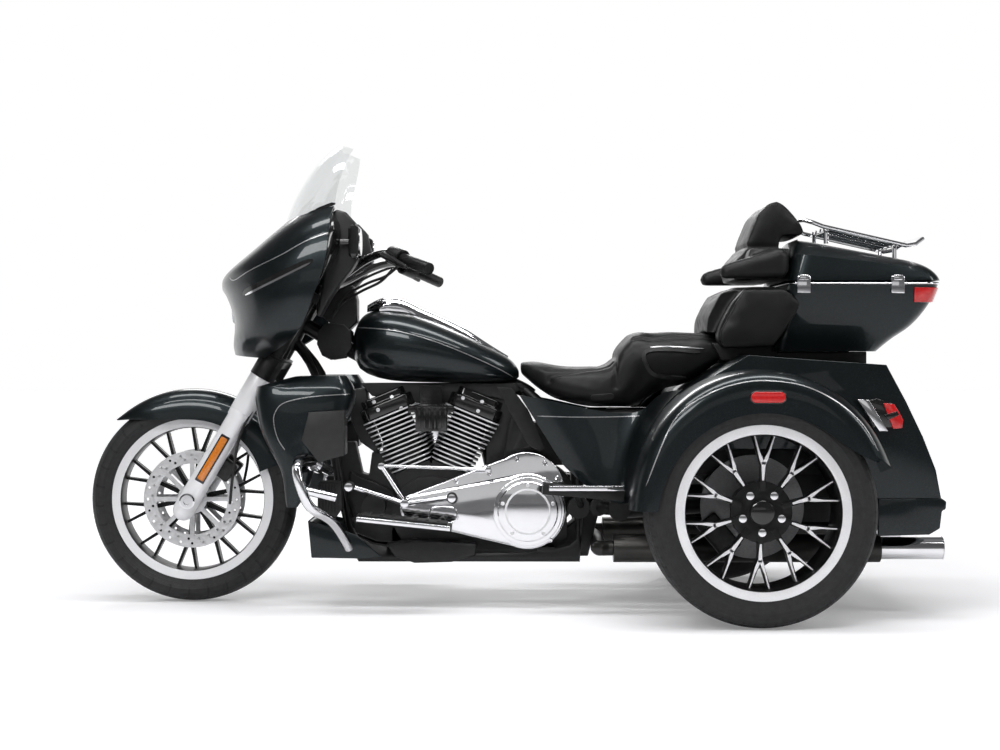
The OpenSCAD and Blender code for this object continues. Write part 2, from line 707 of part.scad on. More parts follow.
// Battery carrier on the gearbox, with a shield on each side behind the rear cylinder
shield_y = 126;
module battery_box() color("#1c1d1f") at_front() {
    slab(-78, 78) polygon([[-962, 425 + seat_gap], [-985, 560], [-1000, 600], [-1012, 600], [-1060, 556],
        [-1165, 556],
        [-1165, 425 + seat_gap]]);
    both() {
        slab(shield_y, shield_y + 6) polygon([[-945, 667], [-990, 664], [-1044, 591], [-1092, 480],
            [-1076, 470],
            [-1039, 491], [-984, 591], [-954, 652]]);
        for (p = [[-1030, 540], [-1064, 500]]) translate([p[0], 0, p[1]]) drum(10, 70, shield_y + 1);
    }
}

// Ribbed coolers behind the leg fairings, on the front frame tubes
cooler_y = 102;
module side_coolers() color("#222325") at_front() both() {
    slab(cooler_y, cooler_y + 66) polygon([[-398, 276], [-404, 380], [-470, 380], [-474, 300],
        [-452, 268]]);
    for (k = [0:6]) slab(cooler_y + 65, cooler_y + 72) translate([-404 - 9*k, 290]) square([4, 82]);
    rod([-463.8, 91, 330], [-463.8, cooler_y + 2, 330], 8);
}

// Tank, seat and cockpit

module tank_body(grow) {
    n = 16;
    x0 = tank_rows[0][0];
    x1 = tank_rows[len(tank_rows) - 1][0];
    loft([for (i = [0:n]) let (x = mix(x0, x1, (1 - cos(180*i/n))/2))
        ring_x(x, curve(x, tank_rows, 3) + grow, curve(x, tank_rows, 1) - grow,
            curve(x, tank_rows, 2) + grow, 0.78, 24)]);
}

module fuel_tank() color("#33474a") at_front() difference() {
    tank_body(0);
    slab(-34, 34) polygon([[-440, 600], [-440, 806], [-560, 790], [-860, 766], [-1023, 704], [-1040, 600]]);
}

module tank_console() color("#c9cdd1") at_front() difference() {
    loft([for (i = [0:11]) let (x = mix(-979, -541, i/11), z = curve(x, console_rows, 1))
        ring_x(x, curve(x, console_rows, 2), z - 60, z, 0.6, 18)]);
    tank_body(seat_gap);
}

seat_front_x = front_axle_x - 1018;
seat_rear_x = rear_axle_x + 56;

module seat() color("#1f1f20") loft([for (i = [0:20]) let (t = 1 - i/20)
    ring_x(mix(seat_front_x, seat_rear_x, t), curve(t, seat_rows, 3), curve(t, seat_rows, 1),
        curve(t, seat_rows, 2), t < 0.5 ? 0.62 : 0.5, 24)]);

// Left side cover: lower and upper edges from front to rear, x from the front axle, y, z
cover_low = [[-1149, 168, 430], [-1209, 194, 376], [-1274, 222, 328], [-1330, 262, 320]];
cover_high = [[-1014, 142, 643], [-1110, 172, 626], [-1255, 199, 596], [-1370, 214, 592],
    [-1436, 262, 646]];

// The front of the fender turns back towards the body
function fender_dip(a) = a < 35 ? 0 : 40*pow((a - 35)/54, 1.5);
function fender_at(a, y) = let (r = rear_tyre_r + curve(a, crown_rows, 1) - fender_dip(a))
    [rear_axle_x + r*sin(a), y, rear_tyre_r + r*cos(a)];
function shift_front(p) = [for (q = p) q + [front_axle_x, 0, 0]];

module side_covers() color("#33474a") both() {
    low = spline(concat(shift_front(cover_low), [fender_at(86, trunk_half - 0.2)]), 5);
    high = spline(concat(shift_front(cover_high), [fender_at(31, trunk_half - 0.2)]), 4);
    sheet([for (i = [0:6]) let (v = i/6) [for (j = [20:-1:0]) let (
        u = j/20, flat = mix(low[j], high[j], v),
        arc = fender_at(mix(86, 31, v), trunk_half - 0.2) - mix(low[20], high[20], v))
        flat + arc*u*u]], panel_t - 1);
}

// Left leg fairing and its engine guard

guard_path = [[-428, 93.2, 410], [-408, 180, 428], [-392, 290, 448], [-362, 372, 446], [-362, 390, 415],
    [-381, 388, 353], [-403, 366, 311], [-452, 300, 276], [-484, 226, 214], [-496, 190, 182]];

// Hole for the guard where it passes through the panels
guard_hole_gap = 9;
module guard_hole() {
    rod(guard_path[0], guard_path[2], guard_r + guard_hole_gap);
    rod(mix(guard_path[1], guard_path[2], 0.9), guard_path[3], guard_r + guard_hole_gap + 3);
}

module leg_body() loft([for (i = [0:12]) let (z = mix(314, 703, i/12)) [for (k = [0:19])
    let (c = cos(18*k), s = sin(18*k), x0 = curve(z, leg_rows, 1), x1 = curve(z, leg_rows, 2),
        y0 = curve(z, leg_rows, 3), y1 = curve(z, leg_rows, 4))
    [(x0 + x1)/2 + (x1 - x0)/2*sign(c)*pow(abs(c), 0.6),
        (y0 + y1)/2 + (y1 - y0)/2*sign(s)*pow(abs(s), 0.6), z]]]);

module leg_fairings() color("#33474a") at_front() both() difference() {
    leg_body();
    guard_hole();
    pod_body(seat_gap);
}

module pod_body(grow) slab(230 - grow, 346 + grow) polygon([[-391 + grow, 596 + grow],
    [-495 - grow, 602 + grow],
    [-495 - grow, 469 - grow], [-421, 448 - grow], [-370 + grow, 513]]);

module lower_pods() color("#3b3d40") at_front() both() difference() {
    pod_body(0);
    guard_hole();
}

module engine_guards() color("#c9cdd1") at_front() both() {
    sweep(spline(guard_path, 2), guard_r, 10);
    // Collar that carries the leg fairing
    rod(mix(guard_path[0], guard_path[2], 0.6), mix(guard_path[0], guard_path[2], 0.8),
        guard_r + guard_hole_gap - seat_gap);
    rod([-376, 384, 370], [-470, 356, 346], 13);
}

chin_in = rail_y + frame_r + seat_gap;
module chin_spoiler() color("#33474a") at_front() difference() {
    slab(-chin_in - 6, chin_in + 6) polygon([[-370, 262], [-381, 149], [-557, 146], [-595, 153],
        [-520, 217], [-460, 239]]);
    slab(-chin_in, chin_in) polygon([[-378, 300], [-390, 140], [-610, 140], [-610, 300]]);
}

// Feet

// Stays of the rider boards: on the primary cover at the left, on the cases at the right
board_stays = [[-690, 190], [-780, 190], [-770, -105], [-800, -105]];

module rider_stays() for (p = board_stays)
    rod([p[0], p[1] + sign(p[1])*seat_gap, 268], [p[0], sign(p[1])*240, 268], 9);

module floorboards() color("#2a2b2d") at_front() {
    rider_stays();
    both() board_pair();
}

module board_pair() {
    translate([-529, 236, 290]) rotate([0, -6, 0]) translate([-284, 0, -18]) cube([284, 110, 18]);
    translate([-1081, 258, 385]) rotate([0, -5, 0]) translate([-240, 0, -30]) cube([240, 96, 30]);
    rod([-1180, 268, 352], [-1200, pivot[1] + 30.4, 308], 10);
}

module foot_controls() color("#c4c8cc") at_front() {
    rod([-506, 268, 374], [-669, 268, 322], 7);
    rod([-669, 268, 322], [-811, 268, 341], 7);
    rod([-669, 190 + seat_gap, 322], [-669, 276, 322], 12);
    for (p = [[-506, 374], [-811, 341]]) translate([p[0], 0, p[1]]) drum(12, 262, 322);
    rod([-669, 240, 322], [-598, 240, 432], 7);
    rod([-598, 240, 432], [-918, 240, 422], 5);
    translate([-598, 0, 432]) drum(10, 230, 250);
    rod([-918, 246, 422], [-918, 176 + seat_gap, 422], 8);
    rod([-540, -268, 360], [-680, -268, 322], 7);
    translate([-540, 0, 360]) drum(14, -318, -262);
    rod([-680, -276, 322], [-680, -105 - seat_gap, 322], 12);
}

// Exhaust

muffler_y = 300;
muffler_z = 192;
pipe_r = 24;
muffler_in = rear_axle_x + 395 + seat_gap;

module exhaust_pipes() color("#6d6f73") {
    at_front() {
        sweep(spline([[-630, -fin_top_d/2 - 2.4, 560], [-630, -112, 560], [-612, -150, 544],
            [-596, -184, 470], [-612, -196, 350],
            [-690, -200, 235], [-860, -200, 196], [-1060, -204, 190], [-1180, -216, 192]], 2), pipe_r, 10);
        sweep(spline([[-852, -fin_top_d/2 - 2.4, 560], [-852, -112, 560], [-876, -150, 544],
            [-912, -186, 470], [-940, -196, 350],
            [-1000, -202, 240], [-1080, -204, 196]], 2), pipe_r, 10);
    }
    sweep(spline([[front_axle_x - 1170, -214, 192], [front_axle_x - 1222, -258, 192],
        [rear_axle_x + 440, -muffler_y, muffler_z], [rear_axle_x + 415, -muffler_y, muffler_z],
        [muffler_in, -muffler_y, muffler_z]], 3), pipe_r, 10);
    sweep(spline([[front_axle_x - 1222, -258, 190], [front_axle_x - 1252, -170, 188],
        [front_axle_x - 1258, 0, 186],
        [front_axle_x - 1252, 190, 188], [rear_axle_x + 440, muffler_y, muffler_z],
        [rear_axle_x + 415, muffler_y, muffler_z], [muffler_in, muffler_y, muffler_z]], 2), pipe_r, 10);
}

module mufflers() color("#4a4c4f") at_rear() for (s = [-1, 1]) translate([0, s*muffler_y, muffler_z])
    rotate([0, 90, 0]) {
    difference() {
        union() {
            translate([0, 0, -395]) cylinder(h = 790, r = 42);
            translate([0, 0, -581]) cylinder(h = 190, r = 33);
        }
        translate([0, 0, -582]) cylinder(h = 150, r = 29);
    }
}

// Rear axle and brakes

arm_x = front_axle_x + pivot[0] - 120;
arm_end = 59.7;

module rear_axle() color("#323336") {
    at_rear() translate([0, 0, rear_tyre_r]) {
        drum(92, -70, 70);
        drum(60, -120, 120);
        drum(36, -rear_hub_in + 30, rear_hub_in - 30);
        both() {
            drum(56, rear_hub_in - 42, rear_hub_in - 20);
            rotate([0, 40, 0]) translate([20, rear_hub_in - 44, -34]) cube([100, 12.1, 68]);
        }
        drum(stub_r, -rear_mid_y - 40, rear_mid_y + 40);
    }
    // Swing arms from the axle tube to the frame pivots
    both() translate([arm_x, 0, pivot[2]]) {
        rod([rear_axle_x - arm_x, 200, rear_tyre_r - pivot[2]], [0, 190, 0], 30);
        drum(34, 150, 222);
        rod([0, 190, 0], [arm_end, pivot[1], 0], 22);
        translate([arm_end, 0, 0]) drum(26, pivot[1] - 12, pivot[1] + 24);
    }
}

module rear_calipers() color("#8b8e93") at_rear() translate([0, 0, rear_tyre_r]) both()
    translate([0, rear_mid_y - 141 - rear_disc_t/2, 0]) rotate([0, 40, 0]) difference() {
        translate([rear_disc_r - 56, -28, -62]) cube([68, 56, 124]);
        translate([rear_disc_r - 80, -9, -80]) cube([86, 18, 160]);
    }

// Trunk, fenders and lamps

trunk_top = [[12, 764], [-388, 736]];
trunk_rear = [[-394, 724], [-444, 631], [-494, 526], [-531, 431], [-546, 350]];
function top_z(x) = mix(trunk_top[0][1], trunk_top[1][1],
    (x - trunk_top[0][0])/(trunk_top[1][0] - trunk_top[0][0]));

module trunk_outline() polygon(concat([[190, floor_z], [190, 640], [178, 660], [106, 708]], trunk_top,
    trunk_rear,
    [[-240, 350], [-200, floor_z]]));

module trunk_inside() polygon([[190 - wall_t, floor_z + wall_t], [190 - wall_t, 636], [172, 652],
    [100, 698],
    [8, 764 - wall_t], [-383, 736 - wall_t], [-436, 629], [-486, 524], [-523, 430], [-540, 350 + wall_t],
    [-236, 350 + wall_t], [-194, floor_z + wall_t]]);

lid_half = 330;
lid_low = 372;
lid_high = 706;
// Rear face of the trunk at height z
rear_face = [[350, -546], [431, -531], [526, -494], [631, -444], [724, -394]];

module lid_outline(t) polygon(concat(
    [for (z = [lid_low:(lid_high - lid_low)/8:lid_high + 0.1]) [curve(z, rear_face, 1), z]],
    [for (z = [lid_high:-(lid_high - lid_low)/8:lid_low - 0.1]) [curve(z, rear_face, 1) + t, z]]));

module trunk_body() color("#33474a") at_rear() difference() {
    slab(-trunk_half, trunk_half) trunk_outline();
    slab(wall_t - trunk_half, trunk_half - wall_t) trunk_inside();
    slab(-lid_half - lid_gap, lid_half + lid_gap)
        polygon([[-330, lid_high + lid_gap], [-600, lid_high + lid_gap],
        [-600, lid_low - lid_gap], [-450, lid_low - lid_gap]]);
}

// Hinge of the trunk lid under its lower edge: places along Y and axis
trunk_hinge_y = [-220, 220];
trunk_hinge_x = -551;
trunk_hinge_z = 368;

module trunk_lid() color("#33474a") at_rear() difference() {
    union() {
        slab(-lid_half, lid_half) lid_outline(18);
        for (y = trunk_hinge_y) {
            translate([trunk_hinge_x, 0, trunk_hinge_z]) drum(6, y - 18, y + 18);
            translate([trunk_hinge_x, y - 18, trunk_hinge_z]) cube([16, 36, 12]);
        }
    }
    for (y = trunk_hinge_y) translate([trunk_hinge_x, 0, trunk_hinge_z]) drum(3 + turn_fit, y - 30, y + 30);
}

// Pins and straps that carry the trunk lid
module trunk_hinges() color("#1e1f21") at_rear() for (y = trunk_hinge_y) {
    translate([trunk_hinge_x, 0, trunk_hinge_z]) drum(3, y - 27, y + 27);
    for (s = [-1, 1]) translate([trunk_hinge_x - 5, y + s*25 - 5, 351]) {
        cube([5 + 4.4, 10, trunk_hinge_z + 5 - 351]);
    }
}

// Left rear fender point at angle a and share s from the opening to the inner edge
function rear_fender_at(a, s) = let (
    crown = rear_tyre_r + curve(a, crown_rows, 1), turn_r = 44,
    lip = min(rear_tyre_r + curve(a, lip_rows, 1), crown - 12),
    flat = max(crown - turn_r - lip, 2), q = 90*(s - 0.3)/0.3)
    let (p = s < 0.3 ? [lip + flat*s/0.3, fender_half]
        : s < 0.6 ? [crown - turn_r + turn_r*sin(q), fender_half - turn_r*1.5*(1 - cos(q))]
        : [crown - fender_dip(a)*pow((s - 0.6)/0.4, 2),
            mix(fender_half - turn_r*1.5, trunk_half + seat_gap, (s - 0.6)/0.4)])
    [p[0]*sin(a), p[1], rear_tyre_r + p[0]*cos(a)];

module rear_fenders() color("#33474a") at_rear() both()
    sheet([for (i = [0:16]) let (a = mix(-70, 89, i/16)) [for (s = [0:0.1:1.01]) rear_fender_at(a, s)]],
        panel_t);

module rear_bumper() color("#33474a") at_rear() difference() {
    slab(-trunk_half, trunk_half) polygon([[-362, 349.6], [-548, 349.6], [-562, 340], [-560, 318],
        [-549, 313], [-543, 262],
        [-512, 244], [-362, 240]]);
    slab(8 - trunk_half, trunk_half - 8) polygon([[-340, 360], [-538, 360], [-538, 266], [-508, 256],
        [-508, 230], [-340, 230]]);
}

module box_ring_body(grow, z_low) loft([for (r = box_rows)
    [for (p = ring_z(r[1] - grow, r[2] + grow, tour_half + r[3] + grow, max(r[4] + grow, 6)))
        [p[0], p[1], r[0] == 776 ? z_low : r[0]]]]);

module tour_box() color("#33474a") at_rear() difference() {
    box_ring_body(0, 776);
    translate([0, 0, 0.01]) box_ring_body(-wall_t, 776 + wall_t);
}

// Pins and straps that carry the top box lid
module tour_hinges() color("#1e1f21") at_rear() for (x = tour_hinge_x) {
    bar_x(hinge_pin_r, x - 27, x + 27, tour_hinge_y, tour_hinge_z);
    for (s = [-1, 1]) translate([x + s*26 - 5, 0, 0]) {
        translate([0, tour_hinge_y - 6, 966]) cube([10, 5, tour_hinge_z - 960]);
        translate([0, tour_hinge_y - 6, 966]) cube([10, 14.2, 12]);
    }
}

module lid_body(grow) loft([for (r = lid_rows) let (x0 = r[0] - rear_overhang, x1 = r[1])
    [for (p = ring_z(x0 - grow, x1 + grow, tour_half + r[2] + grow, max(r[3] + grow, 6)))
        [p[0], p[1], tour_seam_z + mix(r[5], r[4], (p[0] - x0)/(x1 - x0)) + (r[4] > 3 ? grow : 0)]]]);

// Hinge of the top box lid along its right side: places along X, axis and radii
tour_hinge_x = [-230, -450];
tour_hinge_y = -tour_half - 8;
tour_hinge_z = tour_seam_z + 3;
hinge_pin_r = 4;

module bar_x(r, x0, x1, y, z) translate([x0, y, z]) rotate([0, 90, 0]) cylinder(h = x1 - x0, r = r);

module tour_lid() color("#33474a") at_rear() difference() {
    union() {
        difference() {
            lid_body(0);
            translate([0, 0, -0.01]) lid_body(-wall_t);
        }
        for (x = tour_hinge_x) {
            bar_x(7, x - 20, x + 20, tour_hinge_y, tour_hinge_z);
            translate([x - 20, tour_hinge_y, tour_hinge_z]) cube([40, 9, 7]);
        }
    }
    for (x = tour_hinge_x) bar_x(hinge_pin_r + turn_fit, x - 30, x + 30, tour_hinge_y, tour_hinge_z);
}

// Lamps on the top box corners, the trunk corners and the fenders
module rear_lamps() color("#8e1d1f") at_rear() both() {
    intersection() {
        difference() {
            box_ring_body(5, 776);
            box_ring_body(seat_gap, 776);
        }
        translate([-584, 150, 922]) cube([84, 200, 44]);
    }
    slab(trunk_half + seat_gap, trunk_half + 34) polygon([for (t = tail_rows)
        [(rear_tyre_r + t[1])*sin(t[0]), rear_tyre_r + (rear_tyre_r + t[1])*cos(t[0])]]);
    slab(fender_half + seat_gap, fender_half + 5) translate([-9, 2*rear_tyre_r - 3]) {
        square([66, 30], center = true);
        for (s = [-1, 1]) translate([33*s, 0]) circle(r = 15);
    }
}

// Backrests, rack and mounts of the top box

module backrest_lower() color("#1f1f20") at_rear() difference() {
    union() {
        slab(-196, 196) polygon([[112, 832], [106, 881], [67, 958], [20, 970], [-132, 970], [-96, 832]]);
        both() slab(198, 300) polygon([[7, 967], [-121, 967], [-142, 956], [-168, 919], [-154, 882],
            [-106, 812],
            [-84, 786], [64, 781], [85, 807], [83, 839], [38, 925]]);
    }
    box_ring_body(seat_gap, 770);
}

module backrest_upper() color("#1f1f20") at_rear() difference() {
    union() {
        slab(-150, 150) polygon([[-8, 1081], [-58, 1201], [-88, 1230], [-115, 1240], [-140, 1226],
            [-193, 1163], [-202, 1140],
            [-196, 1126], [-130, 1126], [-100, 990], [20, 990], [30, 1040]]);
        slab(-240, 240) polygon([[-140, 990], [-20, 990], [0, 1040], [-20, 1090], [-150, 1090]]);
        both() hull() {
            translate([-104, 264, 1056]) sphere(r = 34, $fn = 12);
            translate([-104, 264, 1022]) sphere(r = 34, $fn = 12);
            translate([50, 266, 1012]) sphere(r = 31, $fn = 12);
        }
    }
    lid_body(seat_gap);
    translate([-600, -400, 900]) cube([800, 800, tour_seam_z - 900 + 4]);
}

rack_r = 6.5;
// Chrome rails over the lid: a closed outer rail, inner bars, cross bars and feet
module luggage_rack() color("#c9cdd1") at_rear() {
    half = [[-190, 0, 1178], [-190, 120, 1178], [-196, 156, 1176], [-220, 168, 1168], [-250, 170, 1156],
        [-505, 166, 1098], [-535, 160, 1103], [-560, 140, 1120], [-566, 110, 1124], [-566, 0, 1124]];
    both() {
        sweep(half, rack_r, 10);
        for (x = [-270, -480]) sweep([[x, 110, rack_z(x)], [x, 110, rack_z(x) - 44]], 7, 10);
        for (y = [40, 100]) sweep([[-262, y, rack_z(-262)], [-488, y, rack_z(-488)]], 5, 8);
    }
    for (x = [-270, -480]) sweep([[x, -168, rack_z(x)], [x, 168, rack_z(x)]], 6, 10);
}
function rack_z(x) = mix(1157, 1098, (x + 245)/-260);

module tour_mount() color("#1e1f21") at_rear() both() slab(120, 160)
    polygon([[-100, top_z(-100) + seat_gap],
    [-385, top_z(-385) + seat_gap], [-385, 775.6], [-100, 775.6]]);

fork_uppers();
fork_sliders();
front_axle();
front_fender();
front_calipers();
fairing_shell();
fairing_inner();
windshield();
headlamp();
handlebar();
hand_controls();
mirrors();
front_tyre();
front_wheel();
front_discs();
steering_head();
frame();
engine_cases();
cylinders();
rocker_covers();
primary_cover();
derby_cover();
air_cleaner();
neck_covers();
battery_box();
side_coolers();
horn_cover();
fuel_tank();
tank_console();
seat();
side_covers();
leg_fairings();
lower_pods();
chin_spoiler();
engine_guards();
floorboards();
foot_controls();
exhaust_pipes();
mufflers();
rear_axle();
rear_calipers();
trunk_body();
rear_fenders();
rear_bumper();
rear_lamps();
tour_box();
tour_hinges();
trunk_hinges();
backrest_lower();
tour_mount();
tour_lid();
luggage_rack();
backrest_upper();
trunk_lid();
rear_tyre_left();
rear_wheel_left();
rear_disc_left();
rear_tyre_right();
rear_wheel_right();
rear_disc_right();
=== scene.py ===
"""Looks of the touring trike: finishes, smoothed panels, padded seats, trim, floor, light and camera."""
import json
import math

import bmesh
import bpy
from mathutils import Matrix, Vector
from mathutils.bvhtree import BVHTree

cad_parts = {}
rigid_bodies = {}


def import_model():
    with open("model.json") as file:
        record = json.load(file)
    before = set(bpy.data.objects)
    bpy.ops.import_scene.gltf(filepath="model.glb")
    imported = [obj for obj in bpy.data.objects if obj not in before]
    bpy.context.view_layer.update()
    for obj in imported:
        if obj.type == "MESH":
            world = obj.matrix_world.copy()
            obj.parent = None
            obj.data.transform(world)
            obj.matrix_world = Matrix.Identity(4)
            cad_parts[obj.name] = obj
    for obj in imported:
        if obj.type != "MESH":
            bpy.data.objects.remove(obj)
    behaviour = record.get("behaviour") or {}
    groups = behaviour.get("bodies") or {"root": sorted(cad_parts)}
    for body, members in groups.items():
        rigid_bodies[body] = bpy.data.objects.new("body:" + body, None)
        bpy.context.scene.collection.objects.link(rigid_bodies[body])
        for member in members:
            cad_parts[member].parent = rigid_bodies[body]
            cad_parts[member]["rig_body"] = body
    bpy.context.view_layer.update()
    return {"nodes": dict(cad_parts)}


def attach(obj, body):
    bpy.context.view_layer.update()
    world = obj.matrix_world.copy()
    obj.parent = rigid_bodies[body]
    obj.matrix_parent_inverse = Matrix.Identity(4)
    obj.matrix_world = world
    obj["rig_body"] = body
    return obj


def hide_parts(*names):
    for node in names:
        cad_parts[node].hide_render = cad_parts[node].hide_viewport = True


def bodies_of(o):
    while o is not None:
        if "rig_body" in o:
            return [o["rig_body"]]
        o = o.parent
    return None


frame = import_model()
nodes = frame["nodes"]
scene = bpy.context.scene
scene.view_settings.view_transform = "Standard"

# Metres, with X forward, Y to the vehicle's left and the floor at Z = 0
MM = 0.001
WELD = 0.00003
SIDES = (1, -1)
UP = Vector((0, 0, 1))
FRONT = Vector((0.9755, 0.0, 0.319))  # middle of the front axle
REAR = Vector((-0.7095, 0.0, 0.325))  # middle of the rear axle
REAR_MID = 0.571  # middle plane of a rear wheel
REAR_HUB = {side: REAR + Vector((0, side*REAR_MID, 0)) for side in SIDES}
LEAN = math.radians(30.5)  # fork legs, from upright
CRANK = Vector((FRONT.x - 0.741, 0.0, 0.275))
V_HALF = math.radians(22.5)  # each cylinder, from upright

# Camera of the side view: its place, and its focal length, middle and picture in pixels
EYE = Vector((0.0215, 5.8, 0.75))
FOCUS = 1852.8
MID_PX, MID_PY = 500, 360
WIDE, HIGH = 1000, 750
SENSOR = 36.0


def hand(side):
    return "left" if side > 0 else "right"


def angles(n):
    return [2*math.pi*k/n for k in range(n)]


# Finishes

def tree(name):
    m = bpy.data.materials.new(name)
    m.use_nodes = True
    t = m.node_tree
    return m, t, t.nodes["Principled BSDF"]


def add(t, kind, **values):
    n = t.nodes.new(kind)
    for key, value in values.items():
        if key in n.inputs:
            n.inputs[key].default_value = value
        else:
            setattr(n, key, value)
    return n


def place(t):
    return add(t, "ShaderNodeTexCoord").outputs["Object"]


def noise(t, scale, detail=3.0, stretch=None):
    n = add(t, "ShaderNodeTexNoise", Scale=scale, Detail=detail)
    where = place(t)
    if stretch:
        m = add(t, "ShaderNodeMapping", Scale=stretch)
        t.links.new(where, m.inputs["Vector"])
        where = m.outputs["Vector"]
    t.links.new(where, n.inputs["Vector"])
    return n.outputs["Fac"]


def ramp(t, source, stops):
    r = add(t, "ShaderNodeValToRGB")
    e = r.color_ramp.elements
    while len(e) < len(stops):
        e.new(0.5)
    for k, (at, colour) in enumerate(stops):
        e[k].position = at
        e[k].color = (*colour, 1.0)
    t.links.new(source, r.inputs["Fac"])
    return r.outputs["Color"]


def span(t, source, a, b, low=0.0, high=1.0):
    n = add(t, "ShaderNodeMapRange")
    for key, value in (("From Min", a), ("From Max", b), ("To Min", low), ("To Max", high)):
        n.inputs[key].default_value = value
    t.links.new(source, n.inputs["Value"])
    return n.outputs["Result"]


def spread(t, source, low, high):
    """The middle part of a noise, stretched over a range."""
    return span(t, source, 0.3, 0.7, low, high)


def calc(t, operation, *values):
    n = add(t, "ShaderNodeMath", operation=operation)
    for k, v in enumerate(values):
        if isinstance(v, (int, float)):
            n.inputs[k].default_value = v
        else:
            t.links.new(v, n.inputs[k])
    return n.outputs[0]


def raise_by(t, shader, height, strength, distance):
    b = add(t, "ShaderNodeBump", Strength=strength, Distance=distance)
    t.links.new(height, b.inputs["Height"])
    t.links.new(b.outputs["Normal"], shader.inputs["Normal"])


def finish(name, dark, light, scale=30.0, metallic=0.0, rough=(0.3, 0.4), bump=0.0, grain=900.0,
           depth=0.0004, stretch=None, **sockets):
    m, t, b = tree(name)
    t.links.new(ramp(t, noise(t, scale, 4.0, stretch), [(0.3, dark), (0.7, light)]), b.inputs["Base Color"])
    t.links.new(spread(t, noise(t, scale*2.3, 3.0, stretch), *rough), b.inputs["Roughness"])
    b.inputs["Metallic"].default_value = metallic
    if bump:
        raise_by(t, b, noise(t, grain, 2.0), bump, depth)
    for key, value in sockets.items():
        b.inputs[key.replace("_", " ")].default_value = value
    return m


def grey(v):
    return (v, v, v*1.02)


def make_paint():
    m, t, b = tree("paint")
    flake = add(t, "ShaderNodeTexVoronoi", Scale=1500.0)
    t.links.new(place(t), flake.inputs["Vector"])
    flakes = [(0.0, (0.005, 0.0080, 0.0092)), (0.75, (0.011, 0.0165, 0.0182)), (1.0, (0.048, 0.066, 0.072))]
    t.links.new(ramp(t, flake.outputs["Color"], flakes), b.inputs["Base Color"])
    t.links.new(spread(t, noise(t, 9.0), 0.30, 0.38), b.inputs["Roughness"])
    b.inputs["Metallic"].default_value = 0.75
    b.inputs["Coat Weight"].default_value = 0.55
    b.inputs["Coat Roughness"].default_value = 0.03
    raise_by(t, b, noise(t, 6.0, 1.0), 0.02, 0.002)
    return m


def make_tyre(name, centre, tread_r, count, sweep, edge):
    """Rubber with sidewall rings and slanted tread grooves worked out from the distance to the axle."""
    m, t, b = tree(name)

    def do(operation, *values):
        return calc(t, operation, *values)

    xyz = add(t, "ShaderNodeSeparateXYZ")
    t.links.new(place(t), xyz.inputs[0])
    dx = do("SUBTRACT", xyz.outputs["X"], centre.x)
    dy = do("ABSOLUTE", do("SUBTRACT", xyz.outputs["Y"], centre.y))
    dz = do("SUBTRACT", xyz.outputs["Z"], centre.z)
    r = do("SQRT", do("ADD", do("MULTIPLY", dx, dx), do("MULTIPLY", dz, dz)))
    turn = do("ARCTAN2", dz, dx)
    crown = do("GREATER_THAN", r, tread_r)
    wave = do("SINE", do("ADD", do("MULTIPLY", turn, count), do("MULTIPLY", dy, sweep)))
    cut = do("MULTIPLY", do("GREATER_THAN", wave, edge), crown)
    rings = do("GREATER_THAN", do("SINE", do("MULTIPLY", r, 700.0)), 0.82)
    rings = do("MULTIPLY", rings, do("SUBTRACT", 1.0, crown))
    height = do("SUBTRACT", do("MULTIPLY", rings, 0.25), cut)
    height = do("ADD", height, do("MULTIPLY", noise(t, 1200.0), 0.12))
    raise_by(t, b, height, 0.9, 0.0035)
    shades = [(0.0, (0.011, 0.011, 0.0115)), (1.0, (0.003, 0.003, 0.003))]
    t.links.new(ramp(t, cut, shades), b.inputs["Base Color"])
    t.links.new(spread(t, noise(t, 60.0), 0.55, 0.72), b.inputs["Roughness"])
    return m


def make_leather():
    m, t, b = tree("leather")
    cells = add(t, "ShaderNodeTexVoronoi", Scale=420.0, feature="DISTANCE_TO_EDGE")
    t.links.new(place(t), cells.inputs["Vector"])
    raise_by(t, b, cells.outputs["Distance"], 0.22, 0.0008)
    t.links.new(ramp(t, noise(t, 14.0), [(0.3, (0.004, 0.004, 0.0042)), (0.7, (0.009, 0.009, 0.0093))]),
                b.inputs["Base Color"])
    t.links.new(spread(t, noise(t, 25.0), 0.40, 0.54), b.inputs["Roughness"])
    b.inputs["Specular IOR Level"].default_value = 0.28
    return m


def make_screen():
    m, t, b = tree("screen")
    clear = add(t, "ShaderNodeBsdfTransparent", Color=(0.955, 0.96, 0.96, 1.0))
    gloss = add(t, "ShaderNodeBsdfGlossy", Roughness=0.02)
    t.links.new(ramp(t, noise(t, 5.0), [(0.0, grey(0.86)), (1.0, grey(0.95))]), gloss.inputs["Color"])
    both = add(t, "ShaderNodeMixShader", Fac=0.07)
    t.links.new(clear.outputs[0], both.inputs[1])
    t.links.new(gloss.outputs[0], both.inputs[2])
    t.links.new(both.outputs[0], t.nodes["Material Output"].inputs["Surface"])
    return m


def make_grille():
    """Black mesh: round holes worked out from the distance to the cell middles."""
    m, t, b = tree("speaker_mesh")
    cells = add(t, "ShaderNodeTexVoronoi", Scale=260.0, Randomness=0.0)
    t.links.new(place(t), cells.inputs["Vector"])
    holes = [(0.30, grey(0.001)), (0.42, grey(0.030))]
    t.links.new(ramp(t, cells.outputs["Distance"], holes), b.inputs["Base Color"])
    t.links.new(spread(t, noise(t, 90.0), 0.4, 0.5), b.inputs["Roughness"])
    raise_by(t, b, cells.outputs["Distance"], 0.5, 0.002)
    return m


